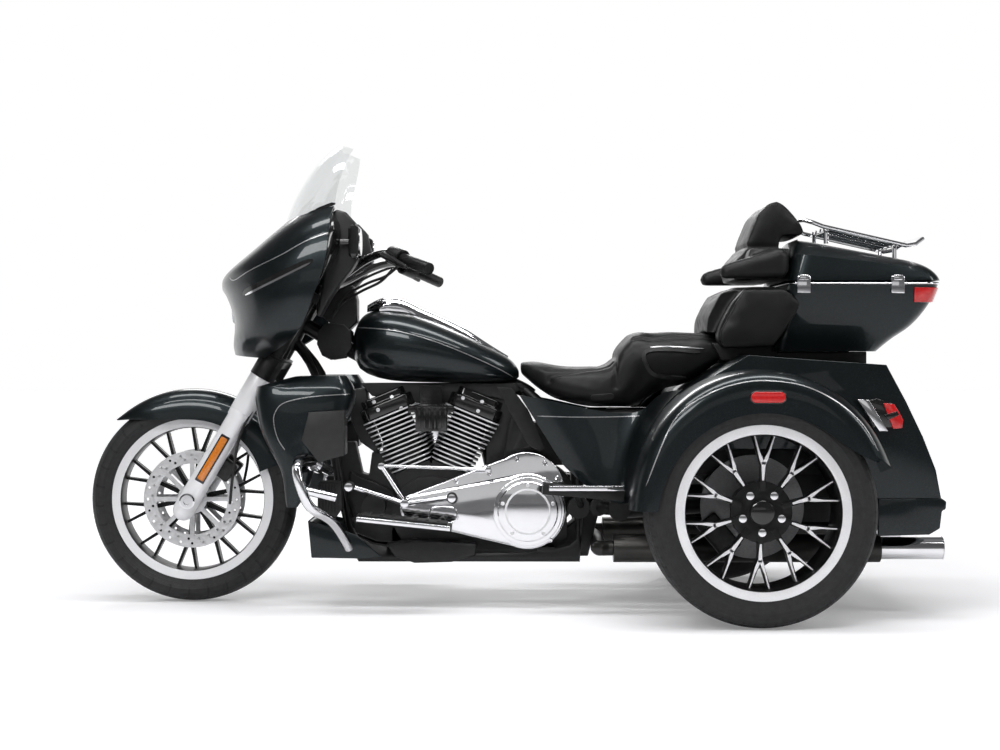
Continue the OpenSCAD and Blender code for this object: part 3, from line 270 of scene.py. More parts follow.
PAINT = make_paint()
CHROME = finish("chrome", grey(0.90), grey(0.96), 12.0, 1.0, (0.05, 0.09))
SATIN = finish("satin_silver", grey(0.90), grey(0.94), 9.0, 0.15, (0.28, 0.33), Coat_Weight=0.4)
MACHINED = finish("machined", grey(0.84), grey(0.92), 300.0, 0.25, (0.18, 0.26), stretch=(1.0, 8.0, 1.0))
GLOSS = finish("black_gloss", grey(0.006), grey(0.012), 15.0, 0.0, (0.10, 0.16), Coat_Weight=0.6)
BLACK = finish("black_satin", grey(0.005), grey(0.009), 40.0, 0.2, (0.34, 0.46), 0.12, 1400.0)
WRINKLE = finish("wrinkle_black", grey(0.008), grey(0.017), 80.0, 0.1, (0.5, 0.62), 0.35, 700.0, 0.0006)
PLASTIC = finish("black_plastic", grey(0.006), grey(0.011), 50.0, 0.0, (0.42, 0.55), 0.25, 900.0)
GREY_PLASTIC = finish("pod_plastic", grey(0.013), grey(0.021), 30.0, 0.0, (0.34, 0.46), 0.15, 900.0)
DISC = finish("brake_steel", grey(0.58), grey(0.68), 90.0, 0.45, (0.30, 0.36))
WHEEL = finish("wheel_black", grey(0.005), grey(0.009), 20.0, 0.0, (0.30, 0.40), Specular_IOR_Level=0.25)
# Darker copy of the brake steel for the rear discs: painted shade, as they sit deep inside the wheels
REAR_DISC_SHADED = finish("rear_brake_steel_shaded", grey(0.26), grey(0.40), 160.0, 0.3, (0.34, 0.5), stretch=(1.0, 1.0, 6.0))
CALIPER = finish("caliper_dark", grey(0.018), grey(0.034), 60.0, 0.3, (0.36, 0.48), 0.15, 1100.0)
EXHAUST = finish("exhaust_dark", (0.030, 0.029, 0.028), (0.060, 0.058, 0.055), 10.0, 0.85, (0.30, 0.42))
RED = finish("lamp_red", (0.42, 0.006, 0.008), (0.56, 0.012, 0.012), 90.0, 0.0, (0.08, 0.14),
             Coat_Weight=1.0, Emission_Color=(0.5, 0.01, 0.01, 1.0), Emission_Strength=0.12)
AMBER = finish("lamp_amber", (0.62, 0.16, 0.006), (0.78, 0.24, 0.012), 220.0, 0.0, (0.10, 0.2),
               Coat_Weight=1.0)
CLEAR = finish("lamp_clear", grey(0.72), grey(0.86), 60.0, 0.0, (0.04, 0.08), Coat_Weight=1.0)
RUBBER = finish("rubber", grey(0.010), grey(0.018), 60.0, 0.0, (0.6, 0.75), 0.3, 1500.0)
STRIPE = finish("pinstripe", grey(0.36), grey(0.46), 120.0, 0.7, (0.25, 0.35), Coat_Weight=0.8)
MIRROR = finish("mirror_glass", grey(0.82), grey(0.88), 6.0, 1.0, (0.01, 0.03))
DARK_GLASS = finish("dark_glass", grey(0.004), grey(0.007), 8.0, 0.0, (0.03, 0.06), Coat_Weight=1.0)
GRILLE = make_grille()
LEATHER = make_leather()
SCREEN = make_screen()

# Nodes with one finish
NODE_FINISH = {
    "fork_uppers": BLACK, "fork_sliders": SATIN, "front_axle": SATIN, "front_calipers": CALIPER,
    "hand_controls": BLACK, "mirrors": GLOSS, "front_discs": DISC, "steering_head": BLACK,
    "neck_covers": PLASTIC, "engine_cases": BLACK, "rocker_covers": GLOSS, "primary_cover": CHROME,
    "derby_cover": CHROME, "air_cleaner": CHROME, "horn_cover": GLOSS, "battery_box": BLACK,
    "side_coolers": WRINKLE, "lower_pods": GREY_PLASTIC, "floorboards": BLACK, "foot_controls": CHROME,
    "chin_spoiler": PAINT, "rear_axle": BLACK, "rear_calipers": CALIPER, "rear_disc_left": REAR_DISC_SHADED,
    "rear_disc_right": REAR_DISC_SHADED, "trunk_body": PAINT, "trunk_lid": PAINT, "trunk_hinges": BLACK,
    "rear_bumper": PAINT, "tour_mount": BLACK, "tour_hinges": CHROME, "luggage_rack": CHROME,
    "seat": LEATHER, "backrest_lower": LEATHER, "backrest_upper": LEATHER}
# Nodes that a smoothed copy stands for
COPY_FINISH = {
    "front_fender": PAINT, "fairing_shell": PAINT, "fairing_inner": GLOSS, "windshield": SCREEN,
    "handlebar": GLOSS, "frame": BLACK, "fuel_tank": PAINT, "tank_console": CHROME, "side_covers": PAINT,
    "leg_fairings": PAINT, "engine_guards": CHROME, "exhaust_pipes": EXHAUST, "rear_fenders": PAINT,
    "tour_box": PAINT, "tour_lid": PAINT}
# Rounded edges of the solids, in millimetres
EDGE = {
    "trunk_body": 22, "trunk_lid": 7, "rear_bumper": 12, "neck_covers": 2, "battery_box": 3,
    "side_coolers": 1.5, "chin_spoiler": 3, "primary_cover": 8, "derby_cover": 2.5,
    "engine_cases": 7, "rocker_covers": 6, "front_calipers": 7, "rear_calipers": 7, "floorboards": 4,
    "lower_pods": 12, "horn_cover": 2.5, "hand_controls": 2, "fork_uppers": 3, "headlamp": 3, "air_cleaner": 7,
    "cylinders": 0.8, "front_wheel": 1.0, "rear_wheel_left": 2.2, "rear_wheel_right": 2.2, "front_discs": 0.5,
    "tour_mount": 3, "mufflers": 1.5, "foot_controls": 1, "fork_sliders": 1.5, "rear_lamps": 2}


def paint_all(o, m):
    o.data.materials.clear()
    o.data.materials.append(m)


def smooth_faces(o):
    for f in o.data.polygons:
        f.use_smooth = True


def split_edges(o, angle):
    e = o.modifiers.new("sharp", "EDGE_SPLIT")
    e.split_angle = math.radians(angle)


def bevel(o, width, segments, limit=None):
    b = o.modifiers.new("round", "BEVEL")
    b.width = width
    b.segments = segments
    b.use_clamp_overlap = True
    if limit is not None:
        b.limit_method = "ANGLE"
        b.angle_limit = math.radians(limit)
    return b


def round_edges(o, width, second=None):
    """Rounds a node's edges; with a second finish, they are flat and take it."""
    w = o.modifiers.new("weld", "WELD")
    w.merge_threshold = 0.00002
    d = o.modifiers.new("flat", "DECIMATE")
    d.decimate_type = "DISSOLVE"
    d.angle_limit = math.radians(0.6)
    b = bevel(o, width*MM, 3 if second is None else 1, 40)
    if second is not None:
        b.material = second
    smooth_faces(o)
    split_edges(o, 32)


def by_face(o, finishes, choose):
    """Gives each face of a node the finish that choose(centre, normal) numbers."""
    o.data.materials.clear()
    for m in finishes:
        o.data.materials.append(m)
    for f in o.data.polygons:
        f.material_index = choose(f.center, f.normal)


for name, m in NODE_FINISH.items():
    paint_all(nodes[name], m)

# Wheels: machined rims, and chrome nuts at the rear
FLAT = 0.9
REAR_RIM_R, FRONT_RIM_R = 0.214, 0.219
NUT_R, NUT_BAND, NUT_OUT = 0.057, 0.013, 0.053


def from_axle(c, axle):
    return math.hypot(c.x - axle.x, c.z - axle.z)


for side in SIDES:
    def rear_part(c, n, hub=REAR_HUB[side], side=side):
        r = from_axle(c, hub)
        if n.y*side > FLAT and r > REAR_RIM_R:
            return 1
        return 2 if abs(r - NUT_R) < NUT_BAND and (c.y - hub.y)*side > NUT_OUT else 0

    by_face(nodes[f"rear_wheel_{hand(side)}"], [WHEEL, MACHINED, CHROME], rear_part)
by_face(nodes["front_wheel"], [WHEEL, MACHINED],
        lambda c, n: 1 if abs(n.y) > FLAT and from_axle(c, FRONT) > FRONT_RIM_R else 0)

# Fins, lamps and muffler tips
BARREL_R = 0.060
TAIL_X, TAIL_TOP, TAIL_Y = REAR.x - 0.30, 0.75, 0.56
TIP_X = REAR.x - 0.397
LENS_X = FRONT.x - 0.1369


def fin_part(c, n):
    """Fin rims are cut bright: they face away from the axis of their cylinder."""
    a = V_HALF if c.x > CRANK.x else -V_HALF
    axis = Vector((math.sin(a), 0, math.cos(a)))
    off = (c - CRANK) - axis*(c - CRANK).dot(axis)
    return 1 if abs(n.dot(axis)) < 0.3 and off.length > BARREL_R else 0


def lamp_part(c, n):
    """The tail lamps are black, apart from their rear faces."""
    tail = c.x < TAIL_X and c.z < TAIL_TOP and abs(c.y) < TAIL_Y
    return 1 if tail and n.x > -0.5 else 0


by_face(nodes["cylinders"], [WRINKLE, MACHINED], fin_part)
by_face(nodes["rear_lamps"], [RED, GLOSS], lamp_part)
by_face(nodes["mufflers"], [EXHAUST, CHROME], lambda c, n: 1 if c.x < TIP_X else 0)
by_face(nodes["headlamp"], [CHROME, CLEAR], lambda c, n: 1 if c.x > LENS_X else 0)

# Tread: its inner radius, the grooves round it, their slant and how narrow they are
FRONT_TREAD = (0.272, 30.0, 60.0, 0.93)
REAR_TREAD = (0.306, 64.0, 90.0, 0.75)
for name, m in (("front_tyre", make_tyre("tyre_front", FRONT, *FRONT_TREAD)),
                ("rear_tyre_left", make_tyre("tyre_left", REAR_HUB[1], *REAR_TREAD)),
                ("rear_tyre_right", make_tyre("tyre_right", REAR_HUB[-1], *REAR_TREAD))):
    paint_all(nodes[name], m)
    smooth_faces(nodes[name])
for name, width in EDGE.items():
    round_edges(nodes[name], width, 1 if name == "front_wheel" else None)


# Smoothed panels and bars, which stand for their faceted solids

def body_of(name):
    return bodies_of(nodes[name])[0]


def mesh_piece(name, bm, m, body, smooth=True):
    me = bpy.data.meshes.new(name)
    bm.to_mesh(me)
    bm.free()
    o = bpy.data.objects.new(name, me)
    scene.collection.objects.link(o)
    me.materials.append(m)
    if smooth:
        smooth_faces(o)
    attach(o, body)
    return o


CREASE = math.radians(38)


def panel(name, m):
    bm = bmesh.new()
    bm.from_mesh(nodes[name].data)
    bmesh.ops.remove_doubles(bm, verts=bm.verts, dist=WELD)
    bmesh.ops.join_triangles(bm, faces=bm.faces, angle_face_threshold=math.radians(24),
                             angle_shape_threshold=math.radians(60))
    layer = bm.edges.layers.float.get("crease_edge") or bm.edges.layers.float.new("crease_edge")
    for e in bm.edges:
        if len(e.link_faces) == 2 and e.calc_face_angle(0.0) > CREASE:
            e[layer] = 1.0
    o = mesh_piece(name + "_panel", bm, m, body_of(name))
    s = o.modifiers.new("smooth", "SUBSURF")
    s.levels = s.render_levels = 2
    split_edges(o, 36)
    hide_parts(name)
    return o


panels = {name: panel(name, m) for name, m in COPY_FINISH.items()}


# Forms through rings of corners

def skin(bm, rows, caps=True):
    """Closed form through the rows of corners, with its faces turned outward."""
    n = len(rows[0])
    made = [bm.faces.new((a[k], a[(k + 1) % n], b[(k + 1) % n], b[k]))
            for a, b in zip(rows, rows[1:]) for k in range(n)]
    if caps:
        made += [bm.faces.new(rows[0][::-1]), bm.faces.new(rows[-1])]
    bmesh.ops.recalc_face_normals(bm, faces=made)


def smooth_line(p, n):
    out = []
    for i in range(len(p) - 1):
        a, b, c, d = p[max(i - 1, 0)], p[i], p[i + 1], p[min(i + 2, len(p) - 1)]
        for k in range(n):
            s = k/n
            out.append(tuple(0.5*(2*b[j] + (c[j] - a[j])*s + (2*a[j] - 5*b[j] + 4*c[j] - d[j])*s*s
                                  + (3*b[j] - a[j] - 3*c[j] + d[j])*s*s*s) for j in range(len(b))))
    out.append(tuple(p[-1]))
    return out


def ring_mesh(bm, centre, axis, profile, segments):
    """Turned form: profile of (radius, height) about an axis."""
    z = axis.normalized()
    x = z.orthogonal().normalized()
    y = z.cross(x)
    skin(bm, [[bm.verts.new(centre + z*h + (x*math.cos(a) + y*math.sin(a))*r) for a in angles(segments)]
              for r, h in profile])


def turned(name, places, profile, m, body, segments=32):
    bm = bmesh.new()
    for centre, axis in places:
        ring_mesh(bm, Vector(centre), Vector(axis), profile, segments)
    split_edges(mesh_piece(name, bm, m, body), 35)


def bolt_profile(r, h):
    return [(r, -0.001), (r, h*0.75), (r*0.82, h), (r*0.5, h), (r*0.45, h*0.45), (0.0004, h*0.42)]


def tube(name, paths, r, m, body, sides=10, steps=6):
    bm = bmesh.new()
    for path in paths:
        p = [Vector(q) for q in smooth_line([tuple(v) for v in path], steps)]
        rows, side = [], None
        for k, c in enumerate(p):
            way = (p[min(k + 1, len(p) - 1)] - p[max(k - 1, 0)]).normalized()
            side = way.orthogonal() if side is None else side - way*side.dot(way)
            side.normalize()
            up = way.cross(side)
            rows.append([bm.verts.new(c + (side*math.cos(a) + up*math.sin(a))*r) for a in angles(sides)])
        skin(bm, rows)
    split_edges(mesh_piece(name, bm, m, body), 50)


def pill(c, half, r, n):
    """Closed line round a flat oval of the side plane."""
    line = [Vector((c.x + math.copysign(half, math.cos(a)) + r*math.cos(a), c.y, c.z + r*math.sin(a)))
            for a in angles(n)]
    return line + line[:1]


def block(name, places, size, m, body, edge, turn=None):
    """Rounded blocks of one size at several places."""
    bm = bmesh.new()
    axes = Matrix.Identity(3) if turn is None else turn
    for c in places:
        for v in bmesh.ops.create_cube(bm, size=1.0)["verts"]:
            v.co = Vector(c) + axes @ Vector((v.co.x*size[0], v.co.y*size[1], v.co.z*size[2]))
    o = mesh_piece(name, bm, m, body)
    bevel(o, edge, 3)
    split_edges(o, 40)


# Trim and fasteners found along sight lines of the side view

def shape_of(o):
    g = bpy.context.evaluated_depsgraph_get()
    e = o.evaluated_get(g)
    me = e.to_mesh()
    t = BVHTree.FromPolygons([o.matrix_world @ v.co for v in me.vertices], [p.vertices for p in me.polygons])
    e.to_mesh_clear()
    return t


def sight(px, py):
    return Vector(((MID_PX - px)/FOCUS, -1.0, (MID_PY - py)/FOCUS)).normalized()


def at(px, py, y):
    """Point of the side view at a known distance from the middle plane."""
    scale = (EYE.y - y)/FOCUS
    return Vector((EYE.x - (px - MID_PX)*scale, y, EYE.z - (py - MID_PY)*scale))


def on_face(target, px, py):
    return shape_of(target).ray_cast(EYE, sight(px, py))[0]


# A band's foot under its panel, and its width at the ends and the gain from row to row, as parts of the whole
SINK = 0.0006
END_WIDTH, WIDTH_GAIN = 0.35, 0.3


def lay(name, path, target, width, m, lift=0.0006, thick=0.0008):
    """A thin band on the panel under a line of the side view, and its twin on the other side."""
    shape = shape_of(target)
    hits = []
    for px, py in smooth_line(path, 8):
        where, normal, _, _ = shape.ray_cast(EYE, sight(px, py))
        if where is not None and where.y > 0.0:
            hits.append((where, normal if normal.dot(EYE - where) > 0 else -normal))
    last = len(hits) - 1
    for side in SIDES:
        bm = bmesh.new()
        rows = []
        for k, (c, n) in enumerate(hits):
            way = (hits[min(k + 1, last)][0] - hits[max(k - 1, 0)][0]).normalized()
            across = way.cross(n).normalized()
            half = width/2*min(1.0, END_WIDTH + min(k, last - k)*WIDTH_GAIN)
            row = [c + across*(half*u) + n*(lift + thick*h - SINK*(1 - h))
                   for u, h in ((-1, 0), (-1, 1), (1, 1), (1, 0))]
            rows.append([bm.verts.new((p.x, p.y*side, p.z)) for p in row])
        skin(bm, rows)
        split_edges(mesh_piece(f"{name}_{hand(side)}", bm, m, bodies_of(target)[0]), 40)


def studs(name, target, pixels, r, h, m, body):
    shape = shape_of(target)
    places = []
    for px, py in pixels:
        where, normal, _, _ = shape.ray_cast(EYE, sight(px, py))
        if where is not None and normal.y > 0.6:
            places.append((where, normal))
    if places:
        turned(name, places, bolt_profile(r, h), m, body, 20)


shell = panels["fairing_shell"]
lay("fairing_stripe", [(230, 278), (235, 280), (251, 270), (281, 255), (306, 241), (328, 233)],
    shell, 0.0026, STRIPE)
lay("fairing_vent", [(243, 294), (262, 284), (288, 271), (313, 260)], shell, 0.020, GLOSS, 0.0002)
lay("fairing_vent_blade", [(246, 295), (264, 286), (288, 274), (310, 263)],
    shell, 0.006, CHROME, 0.0012, 0.002)
lay("screen_trim", [(288, 224), (300, 218), (315, 211), (330, 205), (338, 203)],
    panels["windshield"], 0.012, GLOSS, 0.0004, 0.0016)
lay("tank_stripe", [(352, 328), (368, 328), (396, 331), (424, 338), (452, 348), (480, 360), (501, 370),
                    (513, 377)], panels["fuel_tank"], 0.0026, STRIPE)
lay("leg_stripe", [(350, 394), (310, 397), (284, 403), (275, 413), (274, 424), (278, 439), (285, 450)],
    panels["leg_fairings"], 0.0024, STRIPE)
lay("fender_stripe", [(646, 486), (674, 421), (707, 395), (741, 383), (770, 381), (804, 386), (837, 402),
                      (863, 425), (878, 451)], panels["rear_fenders"], 0.0030, STRIPE)
lay("cover_stripe", [(537, 416), (570, 417), (605, 417), (640, 416)], panels["side_covers"], 0.0024, STRIPE)

# Fork: reflectors on the sliders, axle caps and brake hoses
leg_way = Vector((-math.sin(LEAN), 0, math.cos(LEAN)))
leg_turn = Matrix.Rotation(-LEAN, 3, "Y")
REFLECTOR_UP = 0.150
for name, y, size, m, edge in (("fork_reflectors", 0.147, (0.022, 0.008, 0.150), AMBER, 0.004),
                               ("fork_reflector_backs", 0.1445, (0.030, 0.006, 0.164), GLOSS, 0.003)):
    block(name, [FRONT + Vector((0, s*y, 0)) + leg_way*REFLECTOR_UP for s in SIDES], size, m, "steering", edge,
          leg_turn)
turned("axle_caps", [(FRONT + Vector((0, s*0.1485, 0)), (0, s, 0)) for s in SIDES],
       [(0.024, -0.001), (0.024, 0.006), (0.019, 0.010), (0.011, 0.010), (0.010, 0.003), (0.0005, 0.003)],
       CHROME, "steering")
# Points of a hose: how far up the leg, then the step from it
HOSE = [(0, (-0.125, 0.110, -0.010)), (0, (-0.140, 0.150, 0.080)), (0.26, (-0.036, 0.135, 0)),
        (0.46, (-0.040, 0.110, 0))]
tube("brake_hoses", [[FRONT + leg_way*up + Vector((x, s*y, z)) for up, (x, y, z) in HOSE] for s in SIDES],
     0.0045, RUBBER, "steering")

# Clutch cover: screws and a ring; centre caps of the rear wheels
CLUTCH = Vector((FRONT.x - 1.038, 0.210, 0.292))
SCREW_R = 0.080
turned("derby_screws", [(CLUTCH + Vector((SCREW_R*math.cos(a), -0.0005, SCREW_R*math.sin(a))), (0, 1, 0))
                        for a in (math.radians(90 + 72*k) for k in range(5))],
       bolt_profile(0.006, 0.004), SATIN, "chassis", 20)
turned("derby_ring", [(CLUTCH, (0, 1, 0))],
       [(0.070, -0.001), (0.070, 0.0014), (0.067, 0.0022), (0.064, 0.0014), (0.064, -0.001)],
       SATIN, "chassis", 64)
for side in SIDES:
    body = f"rear_{hand(side)}"
    turned(f"wheel_cap_{body}", [(REAR + Vector((0, side*(REAR_MID + 0.070), 0)), (0, side, 0))],
           [(0.033, -0.001), (0.033, 0.002), (0.028, 0.005), (0.0005, 0.0055)], GLOSS, body, 40)


# Top box: seam strip and latches
CORNER_STEPS = 8


def box_ring(z, rear, front, half, r):
    """Level line round the box, with a quarter circle at each corner."""
    line = []
    for q, (sx, sy) in enumerate(((1, 1), (-1, 1), (-1, -1), (1, -1))):
        cx = front - r if sx > 0 else rear + r
        for k in range(CORNER_STEPS + 1):
            a = math.radians(90*q + 90*k/CORNER_STEPS)
            line.append(Vector((REAR.x + cx + r*math.cos(a), (half - r)*sy + r*math.sin(a), z)))
    return line


def loop_tube(name, line, r, m, body):
    """Round bar along a closed level line."""
    bm = bmesh.new()
    rows = []
    for k, c in enumerate(line):
        way = (line[(k + 1) % len(line)] - line[k - 1]).normalized()
        across = way.cross(UP).normalized()
        rows.append([bm.verts.new(c + across*(r*math.cos(a)) + UP*(r*math.sin(a))) for a in angles(8)])
    skin(bm, rows + rows[:1], False)
    mesh_piece(name, bm, m, body)


loop_tube("tour_seam_strip", box_ring(0.978, -0.583, -0.128, 0.2985, 0.0485), 0.0028, CHROME, "chassis")
for k, x in enumerate((REAR.x - 0.171, REAR.x - 0.450)):
    block(f"tour_latch_{k}", [(x, 0.3015, 0.974)], (0.040, 0.009, 0.052), CHROME, "chassis", 0.003)
    block(f"tour_latch_hook_{k}", [(x, 0.3045, 0.995)], (0.026, 0.008, 0.016), CHROME, "tour_lid_body", 0.002)

# Fender markers: dark rims round the lenses; muffler tips: rolled rims
for side in SIDES:
    middle = Vector((REAR.x - 0.009, side*0.6915, 0.647))
    tube(f"marker_rim_{hand(side)}", [pill(middle, 0.033, 0.0165, 40)], 0.0022, GLOSS, "chassis", 8, 1)
turned("tip_rims", [((REAR.x - 0.579, s*0.300, 0.192), (-1, 0, 0)) for s in SIDES],
       [(0.0335, 0.0), (0.0345, 0.001), (0.0335, 0.0025), (0.0295, 0.0025), (0.0285, 0.0)],
       CHROME, "chassis", 48)

# Boards: rubber pads with ribs and bright edges; rubbers of the pedals
board_turn = Matrix.Rotation(math.radians(-6), 3, "Y")
for side in SIDES:
    base = Vector((FRONT.x - 0.529, side*0.291, 0.290))
    for name, spots, size, m, edge in (
            ("pad", [(-0.142, 0, 0.003)], (0.256, 0.088, 0.008), RUBBER, 0.003),
            ("ribs", [(-0.040 - 0.034*k, 0, 0.0075) for k in range(7)], (0.010, 0.076, 0.005), RUBBER, 0.0015),
            ("edge", [(-0.142, side*0.0555, -0.008)], (0.278, 0.004, 0.014), CHROME, 0.0015)):
        block(f"board_{name}_{hand(side)}", [base + board_turn @ Vector(p) for p in spots], size, m, "chassis",
              edge, board_turn)
turned("peg_rubbers", [((FRONT.x + x, 0.270, z), (0, 1, 0)) for x, z in ((-0.506, 0.374), (-0.811, 0.341))],
       [(0.0125, 0.0)] + [(0.0155 if k % 2 else 0.0130, 0.004*k + 0.004) for k in range(11)]
       + [(0.0125, 0.050)], RUBBER, "chassis", 24)

# Mirror faces on the rider's side, lower than wide
MIRROR_Z, MIRROR_SQUASH = 1.099, 0.78
for side in SIDES:
    bm = bmesh.new()
    ring_mesh(bm, Vector((FRONT.x - 0.5412, side*0.307, MIRROR_Z)), Vector((-1, 0, 0)),
              [(0.052, -0.002), (0.052, 0.0006), (0.050, 0.0012), (0.0005, 0.0012)], 40)
    for v in bm.verts:
        v.co.z = MIRROR_Z + (v.co.z - MIRROR_Z)*MIRROR_SQUASH
    mesh_piece(f"mirror_face_{hand(side)}", bm, MIRROR, "steering", False)


# Pieces cut to an outline of the side view

def prism(name, outline, y0, y1, m, body, edge, pair=False, mid=None):
    """Outline in pixels, read at depth mid, pushed from y0 to y1 and rounded; pair adds its twin."""
    bm = bmesh.new()
    line = [at(px, py, (y0 + y1)/2 if mid is None else mid) for px, py in outline]
    for side in SIDES if pair else (1,):
        skin(bm, [[bm.verts.new((q.x, y*side, q.z)) for q in line] for y in (y0, y1)])
    o = mesh_piece(name, bm, m, body)
    bevel(o, edge, 4, 50)
    split_edges(o, 38)


def middle_prism(name, outline, half, depth, m, body, edge):
    """A prism across the middle plane."""
    prism(name, outline, -half, half, m, body, edge, False, depth)


# Inner fairing wings, the clamps above the steering head, cables, covers and shields round the engine
prism("dash_wings", [(331, 216), (337, 210), (347, 213), (356, 223), (360, 240), (361, 257), (352, 271),
                     (341, 284), (330, 301), (321, 318), (317, 314), (321, 296), (327, 262)],
      0.215, 0.292, PLASTIC, "steering", 0.010, True)
middle_prism("clamp_cover", [(322, 316), (326, 300), (340, 289), (353, 285), (357, 300), (357, 322), (349, 330),
                             (335, 328)], 0.052, 0.05, BLACK, "steering", 0.006)
middle_prism("front_mount", [(350, 470), (359, 476), (373, 481), (392, 490), (400, 500), (400, 524), (354, 524),
                             (347, 502)], 0.052, 0.05, BLACK, "chassis", 0.006)
prism("sump_cover", [(386, 543), (415, 539), (477, 543), (476, 554), (452, 561), (415, 562), (396, 556)],
      0.108, 0.176, PLASTIC, "chassis", 0.008, True)
CABLES = [
    [(398, 266, 0.330), (386, 276, 0.270), (366, 284, 0.190), (346, 296, 0.110), (334, 312, 0.060)],
    [(392, 270, 0.325), (380, 282, 0.250), (360, 292, 0.170), (342, 304, 0.090), (332, 318, 0.056)],
    [(398, 266, -0.330), (384, 270, -0.270), (362, 280, -0.190), (344, 294, -0.110), (334, 312, -0.060)]]
tube("control_cables", [[at(*p) for p in cable] for cable in CABLES], 0.0042, RUBBER, "steering")
for name, half, depth, edge, outline in (
        ("wire_tray", 0.050, 0.05, 0.003, [(360, 383), (515, 383), (520, 390), (505, 400), (492, 397),
                                           (440, 404), (425, 404), (372, 396)]),
        ("loom_cover", 0.046, 0.05, 0.005, [(349, 390), (366, 388), (371, 418), (381, 446), (377, 454),
                                            (360, 442), (351, 420)]),
        ("front_shield", 0.040, 0.04, 0.004, [(338, 442), (355, 442), (362, 473), (369, 475), (372, 452),
                                              (394, 452), (402, 480), (402, 503), (344, 503), (338, 480)]),
        ("rear_shroud", 0.040, 0.04, 0.004, [(484, 394), (513, 394), (516, 426), (510, 446), (511, 466),
                                             (486, 466)]),
        ("lower_shield", 0.060, 0.06, 0.004, [(350, 517), (404, 519), (404, 543), (376, 541), (356, 533)]),
        ("rail_cover", 0.060, 0.06, 0.004, [(474, 536), (556, 536), (590, 508), (600, 508), (588, 556),
                                            (474, 556)]),
        ("backrest_foot", 0.190, 0.19, 0.005, [(712, 343), (775, 343), (778, 357), (722, 361)])):
    middle_prism(name, outline, half, depth, PLASTIC, "chassis", edge)

# Black plates inside the rear wheels: painted shade, dark sheets where the inside of the fenders and the trunk
# wall lie in shadow
PLATE_Y = 0.36
for name, x, z, size in (("axle_guards", -0.025, 0.449, (0.42, 0.003, 0.074)),
                         ("fender_liners", -0.175, 0.345, (0.15, 0.003, 0.140))):
    block(name, [(REAR.x + x, y, z) for y in (PLATE_Y, -PLATE_Y)], size, PLASTIC, "chassis", 0.001)

# Trunk: front wall of the low part, which the solid lacks, from the step of its floor to the lower floor
STEP = [(-0.1960, 0.4990), (-0.2000, 0.4920), (-0.2400, 0.3505), (-0.2360, 0.3575)]
STEP_HALF = 0.430
bm = bmesh.new()
skin(bm, [[bm.verts.new((REAR.x + x, y, z)) for x, z in STEP] for y in (-STEP_HALF, STEP_HALF)])
mesh_piece("trunk_step_wall", bm, PAINT, "chassis", False)

# Primary cover: raised oval and bolts; bolts of the rockers and the front brakes
face = on_face(nodes["primary_cover"], 443, 515)
if face is not None:
    oval = pill(face + Vector((0, 0.0005, 0)), 0.019, 0.024, 32)
    tube("primary_oval", [oval], 0.0028, CHROME, "chassis", 8, 1)
studs("primary_bolts", nodes["primary_cover"],
      [(424, 489), (456, 481), (489, 473), (517, 459), (545, 463), (558, 478), (566, 522), (550, 540),
       (514, 547), (486, 546)], 0.0075, 0.006, CHROME, "chassis")
studs("rocker_bolts", nodes["rocker_covers"],
      [(374, 402), (392, 397), (378, 410), (401, 408), (463, 398), (482, 402), (455, 408), (478, 411)],
      0.006, 0.005, SATIN, "chassis")
studs("caliper_bolts", nodes["front_calipers"], [(231, 478), (238, 488), (226, 482)], 0.006, 0.005, SATIN,
      "steering")

# Rear wheels: bright lines along the forked spokes, as (across, outward, half width)
STEM = [(0, 0.089, 0.0026), (0, 0.118, 0.0048), (0, 0.140, 0.0060)]
ARM = [(0.0016, 0.134, 0.0048), (0.0085, 0.152, 0.0046), (0.0150, 0.170, 0.0026), (0.0282, 0.214, 0.0015)]
TWIN_ARM = [(-u, v, w) for u, v, w in ARM]
SPOKE_FACE, LINE_HALF = 0.0581, 0.0006
for side in SIDES:
    body = f"rear_{hand(side)}"
    bm = bmesh.new()
    hub = REAR + Vector((0, side*(REAR_MID + SPOKE_FACE), 0))
    for k in range(10):
        turn = math.radians(36*k + 2)
        cos, sin = math.cos(turn), math.sin(turn)
        for line in (STEM, ARM, TWIN_ARM):
            rows = []
            for j, (u, v, w) in enumerate(line):
                a, b = line[max(j - 1, 0)], line[min(j + 1, len(line) - 1)]
                way = Vector((b[0] - a[0], b[1] - a[1])).normalized()
                row = []
                for e, h in ((-1, -LINE_HALF), (-1, LINE_HALF), (1, LINE_HALF), (1, -LINE_HALF)):
                    x, z = u + way.y*w*e, v - way.x*w*e
                    row.append(bm.verts.new(hub + Vector((side*(x*cos - z*sin), side*h, x*sin + z*cos))))
                rows.append(row)
            skin(bm, rows)
    split_edges(mesh_piece(f"spoke_lines_{body}", bm, MACHINED, body), 30)

# Tail lamps: bright band, red lens and black bar
face = on_face(nodes["rear_lamps"], 884, 416)
if face is not None:
    tail = face.y
    for name, out, m, edge, outline in (
            ("tail_band", 0.0025, CHROME, 0.001, [(857, 399), (869, 400), (888, 431), (879, 431)]),
            ("tail_lens", 0.004, RED, 0.002, [(883, 403), (894, 404), (899, 412), (903, 420), (902, 428),
                                              (893, 429)]),
            ("tail_bar", 0.0048, GLOSS, 0.001, [(884, 415), (897, 411), (899, 415), (888, 420)])):
        prism(name, outline, tail - 0.002, tail + out, m, "chassis", edge, True, tail)

# Rear boards: bright side strips
prism("rear_board_strip", [(549, 486), (624, 486), (624, 491), (549, 491)], 0.3535, 0.3575, CHROME, "chassis",
      0.001, True)

# Dash: four dials, a screen and the speaker grilles, on the rider's side of the inner fairing
dash = shape_of(panels["fairing_inner"])


def dash_point(y, z):
    where, normal, _, _ = dash.ray_cast(Vector((FRONT.x - 1.2, y, z)), Vector((1, 0, 0)))
    return where, normal if normal is None or normal.x < 0 else -normal


